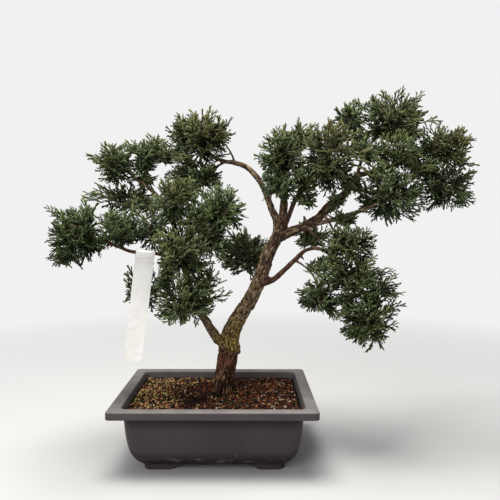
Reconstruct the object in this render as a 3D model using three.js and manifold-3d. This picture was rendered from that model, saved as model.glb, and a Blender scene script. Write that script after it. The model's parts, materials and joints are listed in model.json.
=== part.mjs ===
// An Itoigawa juniper bonsai standing in a rectangular training pot.
// Units are millimetres, +Z is up. The tree is laid out from the point on the table under the
// middle of the pot, with +X to the viewer's right and +Y away from the viewer. At the end the whole
// tree and pot are moved so that the origin is under the middle of everything together.
import * as THREE from "three";
import { mergeVertices } from "three/addons/utils/BufferGeometryUtils.js";
import Module from "manifold-3d";

const wasm = await Module();
wasm.setup();

// Driving dimensions of the pot
const POT_LENGTH = 206;
const POT_WIDTH = 156;
const POT_HEIGHT = 69;
const POT_WALL = 2;
const LIP_HEIGHT = 7.3;
const LIP_OVERHANG = 12.7;
const RIM_EDGE = 1;
const FOOT_LENGTH = 145;
const FOOT_HEIGHT = 6.4;
const FOOT_WALL = 4;
const FOOT_PAD_X = 27;
const FOOT_PAD_Y = 19;
const FOOT_CORNER = 9;
const FOOT_CORNER_INSIDE = 6;
const ARCH_HEIGHT = 5.6;
const FLOOR_THICKNESS = 3;
const DRAIN_HOLE = 7;
const DRAIN_PITCH = 10;
const DRAIN_GROUP_X = 36;
const CORNER_STEPS = 3;

// Driving dimensions of the soil
const SEAT_GAP = 0.4;
const SOIL_LEVEL = 60.5;
const GRAIN_PITCH = 7.3;
const GRAIN_RELIEF = 1.4;
const SOIL_HOLE_GAP = 0.6;

// Low forms in the soil: a mound by the trunk, a heap to the left, and a hollow in front of the
// trunk. Each has its middle, its spread along x and y, and how far it rises.
const SOIL_FORMS = [
  { at: [7, 18], spread: [55, 35], rise: 2.2 },
  { at: [-62, -10], spread: [30, 45], rise: 2 },
  { at: [5, -2], spread: [9, 7], rise: -3.5 },
];

// Driving dimensions of the bark, whose long ribs turn slowly round a limb
const FINE_RIBS = 6;
const COARSE_RIBS = 3;
const COARSE_RIB_SHARE = 0.6;
const RIB_TURN = 2.1;

// Driving dimensions of the foliage
const NEEDLE_RADIUS = 0.95;
const NEEDLE_SIDES = 3;
const NEEDLE_CLEARANCE = 0.45;
const NEEDLE_REACHES = [1.06, 1.02, 0.98, 0.94];
const NEEDLE_UNEVEN = 0.06;
const NEEDLE_SHAKE = 0.5;
const NEEDLE_ROOT = 0.6;
const NEEDLE_STAND = 0.95;
const LEADER_RADIUS = 1.3;
const LEADER_ROOT = 0.3;
const AREA_PER_NEEDLE = 900;
const HEART_DETAIL = 2;
const HEART_TUFT = 0.3;
const HEART_UNEVEN = 0.2;
const SPRAY_GAP = 0.7;
const HEART_TO_LABEL = 5;

// Driving dimensions of the hanging label
const LABEL_WIDTH = 19;
const LABEL_LENGTH = 114;
const LABEL_THICKNESS = 0.8;
const LABEL_LOOP = 3.2;
const LABEL_LOOP_WALL = 0.6;
const LABEL_CHEEK = 0.45;
const LABEL_NECK = 2.2;
const LABEL_TWIST = THREE.MathUtils.degToRad(-26);
const LABEL_STEPS = 6;
const LABEL_ROOM = 4.5;

// Each limb is a route of points x, y, z with the limb's radius at that point.
const LIMBS = {
  trunk: {
    sides: 10,
    ridge: 0.07,
    route: [
      [6.5, 16, 33.5, 10.5],
      [7.5, 15, 51.5, 12.2],
      [6.7, 15, 62.5, 12],
      [8.4, 15, 79.5, 10.8],
      [11.5, 15, 101.5, 11.4],
      [13.5, 15, 121.5, 10.6],
      [20, 13, 140.5, 9],
      [31.7, 12, 159.5, 8],
      [46, 10, 189.5, 7.6],
      [58, 8, 220.5, 7],
      [68.5, 8, 239.5, 6.4],
    ],
  },
  low_left: {
    sides: 7,
    ridge: 0.05,
    route: [
      [12.5, 15, 108.5, 6.5],
      [3.5, 11, 118.5, 6],
      [-4, 6, 129.5, 5],
      [-11, -2, 142.5, 4.5],
      [-18, -8, 155.5, 4.2],
      [-25, -11, 171, 4],
      [-30, -12, 189, 3.8],
      [-34, -12, 208, 3.5],
      [-38, -12, 225, 3.2],
      [-43, -12, 243, 2.9],
      [-53, -12, 264, 2.6],
      [-65, -12, 281.5, 2.3],
      [-77, -12, 291.5, 2],
      [-90, -12, 301.5, 1.7],
      [-103, -12, 310.5, 1.4],
    ],
  },
  far_left: {
    sides: 6,
    ridge: 0,
    route: [
      [-33, -12, 201, 2.8],
      [-42, -22, 211, 2.4],
      [-51, -30, 216.2, 2.2],
      [-61, -34, 219.2, 2],
      [-83.5, -41, 221.2, 1.9],
      [-95.5, -44, 226, 1.8],
      [-108.5, -45, 231, 1.6],
      [-121.5, -46, 235.5, 1.4],
      [-135.5, -46, 239.5, 1.2],
    ],
  },
  upper_left: {
    sides: 7,
    ridge: 0.05,
    route: [
      [66, 9, 233.5, 5.4],
      [65.5, 12, 253.5, 4.4],
      [60.5, 14, 264.5, 3.8],
      [55.5, 16, 278.5, 3.5],
      [48.5, 18, 294.5, 3.2],
      [38.5, 20, 307.5, 3.1],
      [29.5, 22, 314.5, 3],
      [18.5, 22, 318, 2.7],
      [7.5, 20, 319.5, 2.4],
      [-2.5, 18, 323, 2],
      [-11.5, 15, 331, 1.6],
      [-20.5, 14, 342, 1.3],
    ],
  },
  upright: {
    sides: 7,
    ridge: 0.05,
    route: [
      [70, 8, 235.5, 6],
      [72.5, 9, 259.5, 5],
      [73, 10, 270.5, 4.4],
      [74, 9, 282.5, 3.5],
      [74.5, 5, 298.5, 2.8],
      [72.5, -1, 314.5, 2],
      [69.5, -4, 327, 1.5],
    ],
  },
  upper_middle: {
    sides: 6,
    ridge: 0,
    route: [
      [73.5, 7, 246.5, 3.4],
      [79, 1, 261.5, 2.8],
      [85.5, -2, 277.5, 2.6],
      [94.5, -4, 288.5, 2.4],
      [104.5, -7, 303.5, 2.1],
      [111.5, -8, 317.5, 1.6],
      [117.5, -8, 329.5, 1.3],
    ],
  },
  right: {
    sides: 7,
    ridge: 0.05,
    route: [
      [66, 8, 234.5, 6],
      [85.5, 6, 243.5, 5],
      [99.5, 4, 249.5, 4.9],
      [111.5, 4, 257.5, 4.7],
      [122, 6, 269.5, 4.4],
      [138.5, 8, 282, 4.2],
      [147, 10, 292.5, 3.8],
      [155.5, 12, 303, 3.2],
      [167.5, 14, 307, 2.7],
      [180.5, 15, 311, 2.4],
      [199.5, 16, 317, 2.2],
      [218.5, 16, 325, 2],
      [235.5, 13, 331, 1.7],
      [251.5, 10, 337, 1.4],
    ],
  },
  right_low: {
    sides: 6,
    ridge: 0,
    route: [
      [101.5, 4, 249.5, 3.4],
      [113, -2, 251.5, 2.8],
      [128, -8, 255.5, 2.6],
      [143, -12, 260.5, 2.5],
      [157.5, -13, 265.5, 2.3],
      [169.5, -10, 270.5, 2],
      [181.5, -5, 279.5, 1.5],
    ],
  },
  drooping: {
    sides: 6,
    ridge: 0,
    route: [
      [47, 8, 182.5, 3.8],
      [61, -8, 190, 3.4],
      [72, -16, 200.7, 3.1],
      [83.5, -22, 213, 2.8],
      [93.5, -26, 222.5, 2.4],
      [106.5, -28, 224.5, 2.1],
      [120.5, -31, 216.5, 1.9],
      [133.5, -34, 203.5, 1.8],
      [146.5, -34, 189.5, 1.6],
      [155.5, -32, 173.5, 1.4],
      [158.5, -31, 154, 1.2],
    ],
  },
  right_top: {
    sides: 5,
    ridge: 0,
    route: [
      [153.5, 12, 299.5, 2.6],
      [156.5, 13, 313, 2],
      [162.5, 16, 327, 1.8],
      [173.5, 18, 344, 1.6],
      [187.5, 20, 362, 1.3],
    ],
  },
  right_top_inner: {
    sides: 5,
    ridge: 0,
    route: [
      [159.5, 15, 322, 1.6],
      [154.5, 22, 342, 1.3],
      [148.5, 28, 365, 1.1],
    ],
  },
  right_front: {
    sides: 5,
    ridge: 0,
    route: [
      [191.5, 16, 314, 1.6],
      [193.5, 5, 319, 1.3],
      [193.5, -8, 326.5, 1.1],
    ],
  },
  right_end_low: {
    sides: 5,
    ridge: 0,
    route: [
      [218.5, 16, 324, 1.7],
      [234, 20, 312, 1.4],
      [252, 22, 298, 1.1],
    ],
  },
  right_behind: {
    sides: 5,
    ridge: 0,
    route: [
      [91.5, 7, 245.5, 2],
      [98, 20, 241.5, 1.6],
      [106, 34, 235.5, 1.2],
    ],
  },
  trunk_behind: {
    sides: 5,
    ridge: 0,
    route: [
      [55, 9, 211.5, 2.4],
      [49, 28, 211.5, 1.7],
      [38, 50, 214.5, 1.2],
    ],
  },
  pale_twig: {
    sides: 5,
    ridge: 0,
    route: [
      [115.5, 4, 262.5, 1.8],
      [120.5, -8, 251.5, 1.5],
      [126.5, -20, 239.5, 1.3],
      [136.5, -30, 231.5, 1.1],
    ],
  },
  pale_stub: {
    sides: 5,
    ridge: 0,
    route: [
      [98.5, 3, 247.5, 1.9],
      [103.5, -7, 239.5, 1.5],
      [108.5, -16, 234.5, 1.1],
    ],
  },
  drooping_inner: {
    sides: 5,
    ridge: 0,
    route: [
      [81.5, -21, 212.5, 1.5],
      [91.5, -26, 206.5, 1.2],
      [100.5, -29, 197.5, 1.1],
      [106.5, -30, 181.5, 1],
    ],
  },
  low_left_front: {
    sides: 5,
    ridge: 0,
    route: [
      [-20, -9, 160.5, 2.2],
      [-25, -20, 163, 1.6],
      [-31, -31, 168, 1.2],
    ],
  },
  low_left_outer: {
    sides: 5,
    ridge: 0,
    route: [
      [-30, -12, 187, 2],
      [-44, -9, 180, 1.5],
      [-60, -4, 172, 1.3],
      [-79.5, 0, 166, 1.1],
    ],
  },
  left_middle: {
    sides: 5,
    ridge: 0,
    route: [
      [-34, -12, 209, 2],
      [-35, -24, 215, 1.6],
      [-35, -38, 222, 1.2],
    ],
  },
  left_gap: {
    sides: 5,
    ridge: 0,
    route: [
      [-41, -12, 236, 2.2],
      [-53, -17, 241, 1.6],
      [-68, -22, 247, 1.1],
    ],
  },
  left_inner: {
    sides: 5,
    ridge: 0,
    route: [
      [-38, -12, 224, 2],
      [-24, -13, 238, 1.6],
      [-10, -12, 250, 1.4],
      [5.5, -10, 263, 1.1],
    ],
  },
  left_upper_front: {
    sides: 5,
    ridge: 0,
    route: [
      [-43, -12, 242, 1.9],
      [-43, -22, 255, 1.5],
      [-42, -29, 275.5, 1.1],
    ],
  },
  left_shelf: {
    sides: 5,
    ridge: 0,
    route: [
      [-92.5, -43, 225.5, 1.5],
      [-93.5, -40, 236.5, 1.3],
      [-94.5, -38, 246.5, 1.1],
    ],
  },
  left_top: {
    sides: 5,
    ridge: 0,
    route: [
      [-76, -12, 290.5, 1.5],
      [-76, -9, 305.5, 1.3],
      [-75.5, -6, 322.5, 1.1],
    ],
  },
  left_open: {
    sides: 5,
    ridge: 0,
    route: [
      [-63, -12, 279.5, 1.5],
      [-78, -7, 279.5, 1.3],
      [-96, -2, 279.5, 1.1],
    ],
  },
  top_left_twig: {
    sides: 5,
    ridge: 0,
    route: [
      [19.5, 22, 316.5, 1.5],
      [14.5, 21, 328.5, 1.2],
      [7.5, 19, 338.5, 1.1],
      [-1.5, 17, 344, 1],
    ],
  },
  top_left_under: {
    sides: 5,
    ridge: 0,
    route: [
      [7.5, 20, 318.5, 1.6],
      [-6.5, 22, 312, 1.3],
      [-21.5, 22, 308, 1.1],
    ],
  },
  upright_front: {
    sides: 5,
    ridge: 0,
    route: [
      [73.5, 10, 279.5, 1.9],
      [69.5, -2, 287.5, 1.5],
      [66.5, -13, 295, 1.1],
    ],
  },
};

// Each spray of foliage reaches out from a middle point by so much along x, y and z. Heart is the
// share of that reach that its tufted heart takes, and full is how closely its shoots stand, where
// 1 is usual. A large or dense spray has a heart of detail 3, which raises more and finer tufts.
const SPRAYS = {
  foliage_far_left: { at: [-138, -46, 240], reach: [33, 34, 34], heart: 0.77, full: 1.1, detail: 3 },
  foliage_left_shelf: { at: [-97, -38, 245], reach: [28, 29, 22], heart: 0.73, full: 1 },
  foliage_left_crown: { at: [-110, -12, 314.5], reach: [31, 32, 27], heart: 0.75, full: 1, detail: 3 },
  foliage_left_top: { at: [-72.5, -5, 324], reach: [25, 26, 21], heart: 0.71, full: 1 },
  foliage_left_open: { at: [-101.5, -1, 277], reach: [34, 29, 23], heart: 0.63, full: 0.9 },
  foliage_top_left: { at: [-24, 14, 347.5], reach: [44, 36, 32], heart: 0.79, full: 1.1, detail: 3 },
  foliage_top_left_under: { at: [-25, 22, 306.5], reach: [36, 30, 25], heart: 0.65, full: 0.9 },
  foliage_left_front: { at: [-41.5, -30, 279], reach: [26, 29, 29], heart: 0.75, full: 1 },
  foliage_left_inner: { at: [9, -10, 264.5], reach: [32, 31, 33], heart: 0.75, full: 1, detail: 3 },
  foliage_trunk_behind: { at: [29, 52, 213], reach: [35, 30, 31], heart: 0.73, full: 1, detail: 3 },
  foliage_left_middle: { at: [-34, -39, 222], reach: [36, 34, 38], heart: 0.77, full: 1.1, detail: 3 },
  foliage_low_left: { at: [-31, -33, 169], reach: [38, 33, 28], heart: 0.75, full: 1, detail: 3 },
  foliage_low_left_outer: { at: [-83, 2, 175], reach: [24, 26, 32], heart: 0.63, full: 0.9 },
  foliage_upright: { at: [69.5, -6, 328.5], reach: [35, 35, 33], heart: 0.77, full: 1, detail: 3 },
  foliage_upright_front: { at: [66, -14, 292], reach: [26, 24, 20], heart: 0.61, full: 0.8 },
  foliage_upper_middle: { at: [120, -12, 320.5], reach: [36, 37, 44], heart: 0.77, full: 1.1, detail: 3 },
  foliage_right_top_inner: { at: [149, 30, 370], reach: [24, 24, 25], heart: 0.69, full: 0.9 },
  foliage_right_top: { at: [192.5, 20, 369.5], reach: [43, 36, 33], heart: 0.77, full: 1.1, detail: 3 },
  foliage_right_end: { at: [252, 10, 337], reach: [36, 33, 30], heart: 0.77, full: 1.1, detail: 3 },
  foliage_right_end_low: { at: [256.5, 22, 292], reach: [37, 32, 33], heart: 0.71, full: 1, detail: 3 },
  foliage_right_front: { at: [194, -8, 326.5], reach: [28, 26, 22], heart: 0.71, full: 0.9 },
  foliage_right_middle: { at: [186.5, 0, 286], reach: [43, 38, 38], heart: 0.77, full: 1.1, detail: 3 },
  foliage_drooping_top: { at: [140, -30, 230.5], reach: [36, 29, 24], heart: 0.73, full: 1, detail: 3 },
  foliage_drooping_middle: { at: [138, -36, 198], reach: [42, 32, 25], heart: 0.73, full: 1.1, detail: 3 },
  foliage_drooping_inner: { at: [107.5, -28, 173], reach: [27, 25, 23], heart: 0.67, full: 0.9 },
  foliage_drooping_end: { at: [159.5, -30, 146], reach: [39, 33, 32], heart: 0.77, full: 1.1, detail: 3 },
  foliage_right_behind: { at: [106.5, 36, 236], reach: [24, 24, 22], heart: 0.69, full: 0.9 },
  foliage_left_gap: { at: [-68.5, -22, 247], reach: [22, 24, 29], heart: 0.63, full: 0.9 },
};

// Long shoots that stand out past the rest of their spray, each given by where its tip is.
const LEADERS = [
  ["foliage_right_top", [229.5, 20, 398.5]],
  ["foliage_right_end", [284.5, 10, 342.5]],
  ["foliage_right_end_low", [289, 22, 272.5]],
  ["foliage_far_left", [-166.5, -46, 268]],
  ["foliage_far_left", [-167, -46, 212.5]],
  ["foliage_drooping_middle", [185.5, -34, 202.5]],
  ["foliage_drooping_end", [197.5, -30, 168]],
  ["foliage_drooping_inner", [81.5, -31, 179.5]],
  ["foliage_low_left", [18, -28, 179.5]],
];

// A repeatable random number source from 0 to 1.
function randomSource(seed) {
  let state = seed >>> 0;
  return () => {
    state = (state + 0x6d2b79f5) >>> 0;
    let mixed = Math.imul(state ^ (state >>> 15), 1 | state);
    mixed = (mixed + Math.imul(mixed ^ (mixed >>> 7), 61 | mixed)) ^ mixed;
    return ((mixed ^ (mixed >>> 14)) >>> 0) / 4294967296;
  };
}

// A closed three.js geometry as a solid that can be joined and cut.
function solidOf(geometry) {
  const bare = geometry.clone();
  bare.deleteAttribute("normal");
  bare.deleteAttribute("uv");
  const merged = mergeVertices(bare, 1e-4);
  return new wasm.Manifold(
    new wasm.Mesh({
      numProp: 3,
      vertProperties: merged.getAttribute("position").array,
      triVerts: new Uint32Array(merged.index.array),
    }),
  );
}

// A solid as a three.js geometry with flat faces.
function geometryOf(solid) {
  const mesh = solid.getMesh();
  const indexed = new THREE.BufferGeometry();
  indexed.setAttribute("position", new THREE.BufferAttribute(mesh.vertProperties, 3));
  indexed.setIndex(new THREE.BufferAttribute(mesh.triVerts, 1));
  const geometry = indexed.toNonIndexed();
  geometry.computeVertexNormals();
  return geometry;
}

// Joins solids, and keeps the largest body, without the loose scraps and sealed hollows.
function joined(solids) {
  return largestBody(wasm.Manifold.union(solids));
}

function largestBody(solid) {
  const bodies = solid.decompose();
  return bodies.reduce((best, body) => (body.volume() > best.volume() ? body : best));
}

// One ring of a rectangle with round corners, anticlockwise from above.
function roundedRing(halfX, halfY, corner, z) {
  const radius = Math.min(corner, halfX, halfY);
  const ring = [];
  for (let quarter = 0; quarter < 4; quarter++) {
    const signX = quarter === 0 || quarter === 3 ? 1 : -1;
    const signY = quarter < 2 ? 1 : -1;
    for (let step = 0; step <= CORNER_STEPS; step++) {
      const angle = ((quarter + step / CORNER_STEPS) * Math.PI) / 2;
      ring.push(
        new THREE.Vector3(
          signX * (halfX - radius) + radius * Math.cos(angle),
          signY * (halfY - radius) + radius * Math.sin(angle),
          z,
        ),
      );
    }
  }
  return ring;
}

// A closed skin over rings of equal point count, in order, with a fan over the first and the last.
function loftedRings(rings) {
  const count = rings[0].length;
  const points = rings.flat();
  const faces = [];
  for (let ring = 0; ring + 1 < rings.length; ring++) {
    for (let step = 0; step < count; step++) {
      const next = (step + 1) % count;
      const a = ring * count + step;
      const b = ring * count + next;
      faces.push(a, b, b + count, a, b + count, a + count);
    }
  }
  for (const [ring, turned] of [
    [0, true],
    [rings.length - 1, false],
  ]) {
    const middle = new THREE.Vector3();
    rings[ring].forEach((point) => middle.add(point));
    points.push(middle.divideScalar(count));
    const centre = points.length - 1;
    for (let step = 0; step < count; step++) {
      const a = ring * count + step;
      const b = ring * count + ((step + 1) % count);
      faces.push(centre, turned ? b : a, turned ? a : b);
    }
  }
  const geometry = new THREE.BufferGeometry().setFromPoints(points);
  geometry.setIndex(faces);
  return geometry;
}

// The pot's section from the middle of its underside, out, up and over the rim, and down inside:
// how far out from the middle along x, the height, and the corner radius.
const RIM_OUT = POT_LENGTH / 2;
const DEPTH_LESS = (POT_LENGTH - POT_WIDTH) / 2;
const BODY_TOP = RIM_OUT - LIP_OVERHANG;
const RIM_UNDERSIDE = POT_HEIGHT - POT_WALL;
const FLOOR_TOP = FOOT_HEIGHT + FLOOR_THICKNESS;
const POT_OUTSIDE = [
  [70, FOOT_HEIGHT, 8],
  [75.5, FOOT_HEIGHT + 0.6, 9],
  [78.4, 9.6, 10],
  [82, 14.4, 11],
  [85, 21, 11],
  [87.6, 34, 10],
  [BODY_TOP, RIM_UNDERSIDE, 9],
  [RIM_OUT - POT_WALL, RIM_UNDERSIDE, 3],
  [RIM_OUT - POT_WALL, POT_HEIGHT - LIP_HEIGHT, 3],
  [RIM_OUT, POT_HEIGHT - LIP_HEIGHT, 4],
  [RIM_OUT, POT_HEIGHT - RIM_EDGE, 4],
  [RIM_OUT - RIM_EDGE, POT_HEIGHT, 3.5],
];
const POT_INSIDE = [
  [BODY_TOP + 1.2, POT_HEIGHT, 6],
  [BODY_TOP - 0.4, POT_HEIGHT - 1.6, 6],
  [BODY_TOP - POT_WALL - 0.4, 58, 7],
  [87.6 - POT_WALL, 34, 8],
  [85 - POT_WALL, 22, 9],
  [82 - POT_WALL, 15.6, 9],
  [76.2, 11.4, 8],
  [72.4, FLOOR_TOP, 7],
];

function potRing([out, height, corner]) {
  return roundedRing(out, out - DEPTH_LESS, corner, height);
}

// A straight bar of the given outline in the x and z plane, along y, centred on y 0.
function barAlongY(outline, length) {
  const shape = new THREE.Shape(outline.map(([x, z]) => new THREE.Vector2(x, z)));
  const bar = new THREE.ExtrudeGeometry(shape, { depth: length, bevelEnabled: false });
  bar.translate(0, 0, -length / 2);
  return bar.rotateX(Math.PI / 2);
}

// The low arch between two feet, as the outline of what is cut away: each foot's inner side rises
// steeply and then runs out into a nearly level top.
function archOutline(half) {
  const side = [
    [half, -1],
    [half - 3.5, ARCH_HEIGHT * 0.4],
    [half - 9, ARCH_HEIGHT * 0.78],
    [half - 21, ARCH_HEIGHT],
  ];
  return [...side, ...side.map(([x, z]) => [-x, z]).reverse()];
}

function buildFeet() {
  const halfX = FOOT_LENGTH / 2;
  const halfY = halfX - DEPTH_LESS;
  const top = FOOT_HEIGHT + 1;
  const ringAt = (inset, corner, z) => roundedRing(halfX - inset, halfY - inset, corner, z);
  const outer = loftedRings([ringAt(0, FOOT_CORNER, 0), ringAt(0, FOOT_CORNER, top)]);
  const inner = loftedRings([
    ringAt(FOOT_WALL, FOOT_CORNER_INSIDE, -1),
    ringAt(FOOT_WALL, FOOT_CORNER_INSIDE, top + 1),
  ]);
  const across = barAlongY(archOutline(halfX - FOOT_PAD_X), POT_WIDTH);
  const along = barAlongY(archOutline(halfY - FOOT_PAD_Y), POT_LENGTH).rotateZ(Math.PI / 2);
  return solidOf(outer).subtract(solidOf(inner)).subtract(solidOf(across)).subtract(solidOf(along));
}

function buildDrainHoles() {
  const holes = [];
  for (const side of [-1, 1]) {
    for (const column of [-0.5, 0.5]) {
      for (const row of [-0.5, 0.5]) {
        const hole = new THREE.BoxGeometry(DRAIN_HOLE, DRAIN_HOLE, 4 * FLOOR_THICKNESS);
        const x = side * DRAIN_GROUP_X + column * DRAIN_PITCH;
        holes.push(solidOf(hole.translate(x, row * DRAIN_PITCH, FLOOR_TOP)));
      }
    }
  }
  return wasm.Manifold.union(holes);
}

function buildPot() {
  const shell = solidOf(loftedRings([...POT_OUTSIDE, ...POT_INSIDE].map(potRing)));
  return shell.add(buildFeet()).subtract(buildDrainHoles());
}

// The height of the soil before its grains are raised.
function soilHeight(x, y) {
  let height = SOIL_LEVEL;
  for (const { at, spread, rise } of SOIL_FORMS) {
    height += rise * Math.exp(-(((x - at[0]) / spread[0]) ** 2) - ((y - at[1]) / spread[1]) ** 2);
  }
  return height;
}

function buildSoil(trunkHole) {
  const random = randomSource(7);
  const columns = Math.round(POT_LENGTH / GRAIN_PITCH);
  const rows = Math.round(POT_WIDTH / GRAIN_PITCH);
  const slab = new THREE.BoxGeometry(POT_LENGTH, POT_WIDTH, 2, columns, rows, 1);
  const place = slab.getAttribute("position");
  const bumps = new Map();
  for (let i = 0; i < place.count; i++) {
    const x = place.getX(i);
    const y = place.getY(i);
    if (place.getZ(i) < 0) {
      place.setZ(i, FOOT_HEIGHT);
      continue;
    }
    const key = `${Math.round(x * 10)},${Math.round(y * 10)}`;
    if (!bumps.has(key)) bumps.set(key, [random() - 0.5, random() - 0.5, 2 * random() - 1]);
    const [shiftX, shiftY, lift] = bumps.get(key);
    place.setXYZ(
      i,
      x + shiftX * GRAIN_PITCH * 0.5,
      y + shiftY * GRAIN_PITCH * 0.5,
      soilHeight(x, y) + GRAIN_RELIEF * lift,
    );
  }
  const inside = [...POT_INSIDE]
    .reverse()
    .map(([out, height, corner]) => [out - SEAT_GAP, height + SEAT_GAP, corner]);
  const fill = solidOf(loftedRings(inside.map(potRing)));
  return largestBody(solidOf(slab).intersect(fill).subtract(trunkHole));
}

// The smooth curve through the points of a route.
function curveThrough(route) {
  const points = route.map(([x, y, z]) => new THREE.Vector3(x, y, z));
  return new THREE.CatmullRomCurve3(points, false, "centripetal");
}

// A round limb of changing radius along a smooth route. Grow makes it thicker all over, for the
// space that its neighbours leave round it, and ridge raises long ribs of bark on it.
function taperedLimb(route, sides, ridge, grow) {
  const curve = curveThrough(route);
  const last = route.length - 1;
  const normal = new THREE.Vector3(0, 1, 0);
  const frames = [];
  for (let step = 0; step <= last; step++) {
    const tangent = curve.getTangent(step / last);
    normal.addScaledVector(tangent, -normal.dot(tangent)).normalize();
    frames.push([tangent, normal.clone(), tangent.clone().cross(normal)]);
  }
  const tube = new THREE.CylinderGeometry(1, 1, 1, sides, last);
  const place = tube.getAttribute("position");
  for (let i = 0; i < place.count; i++) {
    const step = Math.round((place.getY(i) + 0.5) * last);
    const [tangent, across, side] = frames[step];
    const angle = Math.atan2(place.getZ(i), place.getX(i));
    const fine = Math.sin(angle * FINE_RIBS + step * RIB_TURN);
    const coarse = COARSE_RIB_SHARE * Math.sin(angle * COARSE_RIBS - step);
    const radius = route[step][3] * (1 + ridge * (fine + coarse)) + grow;
    const out = Math.hypot(place.getX(i), place.getZ(i)) * radius;
    const end = step === 0 ? -grow : step === last ? grow : 0;
    const point = curve
      .getPoint(step / last)
      .addScaledVector(across, out * Math.cos(angle))
      .addScaledVector(side, -out * Math.sin(angle))
      .addScaledVector(tangent, end);
    place.setXYZ(i, point.x, point.y, point.z);
  }
  return solidOf(tube);
}

function buildWood(grow) {
  const limbs = Object.values(LIMBS).map(({ route, sides, ridge }) =>
    taperedLimb(route, sides, ridge, grow),
  );
  return joined(limbs);
}

// The trunk's hole in the soil is a plain round taper, a little wider than the trunk.
function buildTrunkHole() {
  const { route, sides, ridge } = LIMBS.trunk;
  const deepestRib = (1 + COARSE_RIB_SHARE) * ridge * route[1][3];
  return taperedLimb(route.slice(0, 4), sides, 0, SOIL_HOLE_GAP + deepestRib);
}

// The shortest distance between two straight stretches.
function stretchDistance(a, b) {
  const u = b.to.clone().sub(b.from);
  const v = a.to.clone().sub(a.from);
  const w = b.from.clone().sub(a.from);
  const uu = u.dot(u);
  const uv = u.dot(v);
  const vv = v.dot(v);
  const uw = u.dot(w);
  const vw = v.dot(w);
  const scale = uu * vv - uv * uv;
  let s = scale > 1e-9 ? THREE.MathUtils.clamp((uv * vw - vv * uw) / scale, 0, 1) : 0;
  const t = THREE.MathUtils.clamp((uv * s + vw) / vv, 0, 1);
  s = THREE.MathUtils.clamp((uv * t - uw) / uu, 0, 1);
  return w.addScaledVector(u, s).addScaledVector(v, -t).length();
}

// A limb's route as straight stretches, two for each span, each as thick as the limb with its ribs.
function stretchesOfRoute(route) {
  const curve = curveThrough(route);
  const count = (route.length - 1) * 2;
  const stretches = [];
  for (let i = 0; i < count; i++) {
    const span = Math.floor(i / 2);
    stretches.push({
      from: curve.getPoint(i / count),
      to: curve.getPoint((i + 1) / count),
      radius: Math.max(route[span][3], route[span + 1][3]) * 1.1,
    });
  }
  return stretches;
}

// A slim pointed shoot with few sides, from its root to its tip.
function needle(from, to, radius) {
  const length = from.distanceTo(to);
  const cone = new THREE.ConeGeometry(radius, length, NEEDLE_SIDES, 1);
  cone.translate(0, length / 2, 0);
  const aim = new THREE.Quaternion().setFromUnitVectors(
    new THREE.Vector3(0, 1, 0),
    to.clone().sub(from).normalize(),
  );
  cone.applyQuaternion(aim);
  cone.translate(from.x, from.y, from.z);
  return solidOf(cone);
}

// A direction of a set spread evenly over a ball.
function evenDirection(index, count, turn) {
  const height = 1 - (2 * index + 1) / count;
  const ring = Math.sqrt(1 - height * height);
  const angle = index * Math.PI * (3 - Math.sqrt(5)) + turn;
  return new THREE.Vector3(ring * Math.cos(angle), ring * Math.sin(angle), height);
}

function shaken(direction, amount, random) {
  const shake = new THREE.Vector3(random() - 0.5, random() - 0.5, random() - 0.5);
  return direction.clone().addScaledVector(shake, amount).normalize();
}

function pointOfSpray(spray, direction, share) {
  return new THREE.Vector3(...spray.at).add(
    direction.clone().multiply(new THREE.Vector3(...spray.reach)).multiplyScalar(share),
  );
}

// The area of the ball that a spray reaches to.
function sprayArea([x, y, z]) {
  const mean = ((x * y) ** 1.6 + (x * z) ** 1.6 + (y * z) ** 1.6) / 3;
  return 4 * Math.PI * mean ** (1 / 1.6);
}

// How far a point is inside its own spray's share of the space between it and the other sprays.
function roomInSpray(point, owner) {
  const own = spreadFrom(SPRAYS[owner], point);
  let room = Infinity;
  for (const [name, spray] of Object.entries(SPRAYS)) {
    if (name === owner) continue;
    const other = spreadFrom(spray, point);
    const slope = other.slope.distanceTo(own.slope);
    room = Math.min(room, (other.value - own.value) / Math.max(slope, 1e-6));
  }
  return room;
}

// How far out of a spray a point is, as the square of its share of the reach, with the slope of it.
function spreadFrom(spray, point) {
  const reach = new THREE.Vector3(...spray.reach);
  const scaled = point.clone().sub(new THREE.Vector3(...spray.at)).divide(reach);
  return { value: scaled.lengthSq(), slope: scaled.divide(reach).multiplyScalar(2) };
}

// Whether a stretch keeps clear of everything that belongs to other nodes.
function isClear(stretch, taken) {
  for (let share = 0; share <= 1; share += 0.125) {
    const point = stretch.from.clone().lerp(stretch.to, share);
    if (roomInSpray(point, stretch.owner) < SPRAY_GAP + stretch.radius) return false;
  }
  return taken.every(
    (other) => stretchDistance(stretch, other) > stretch.radius + other.radius + NEEDLE_CLEARANCE,
  );
}

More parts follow.
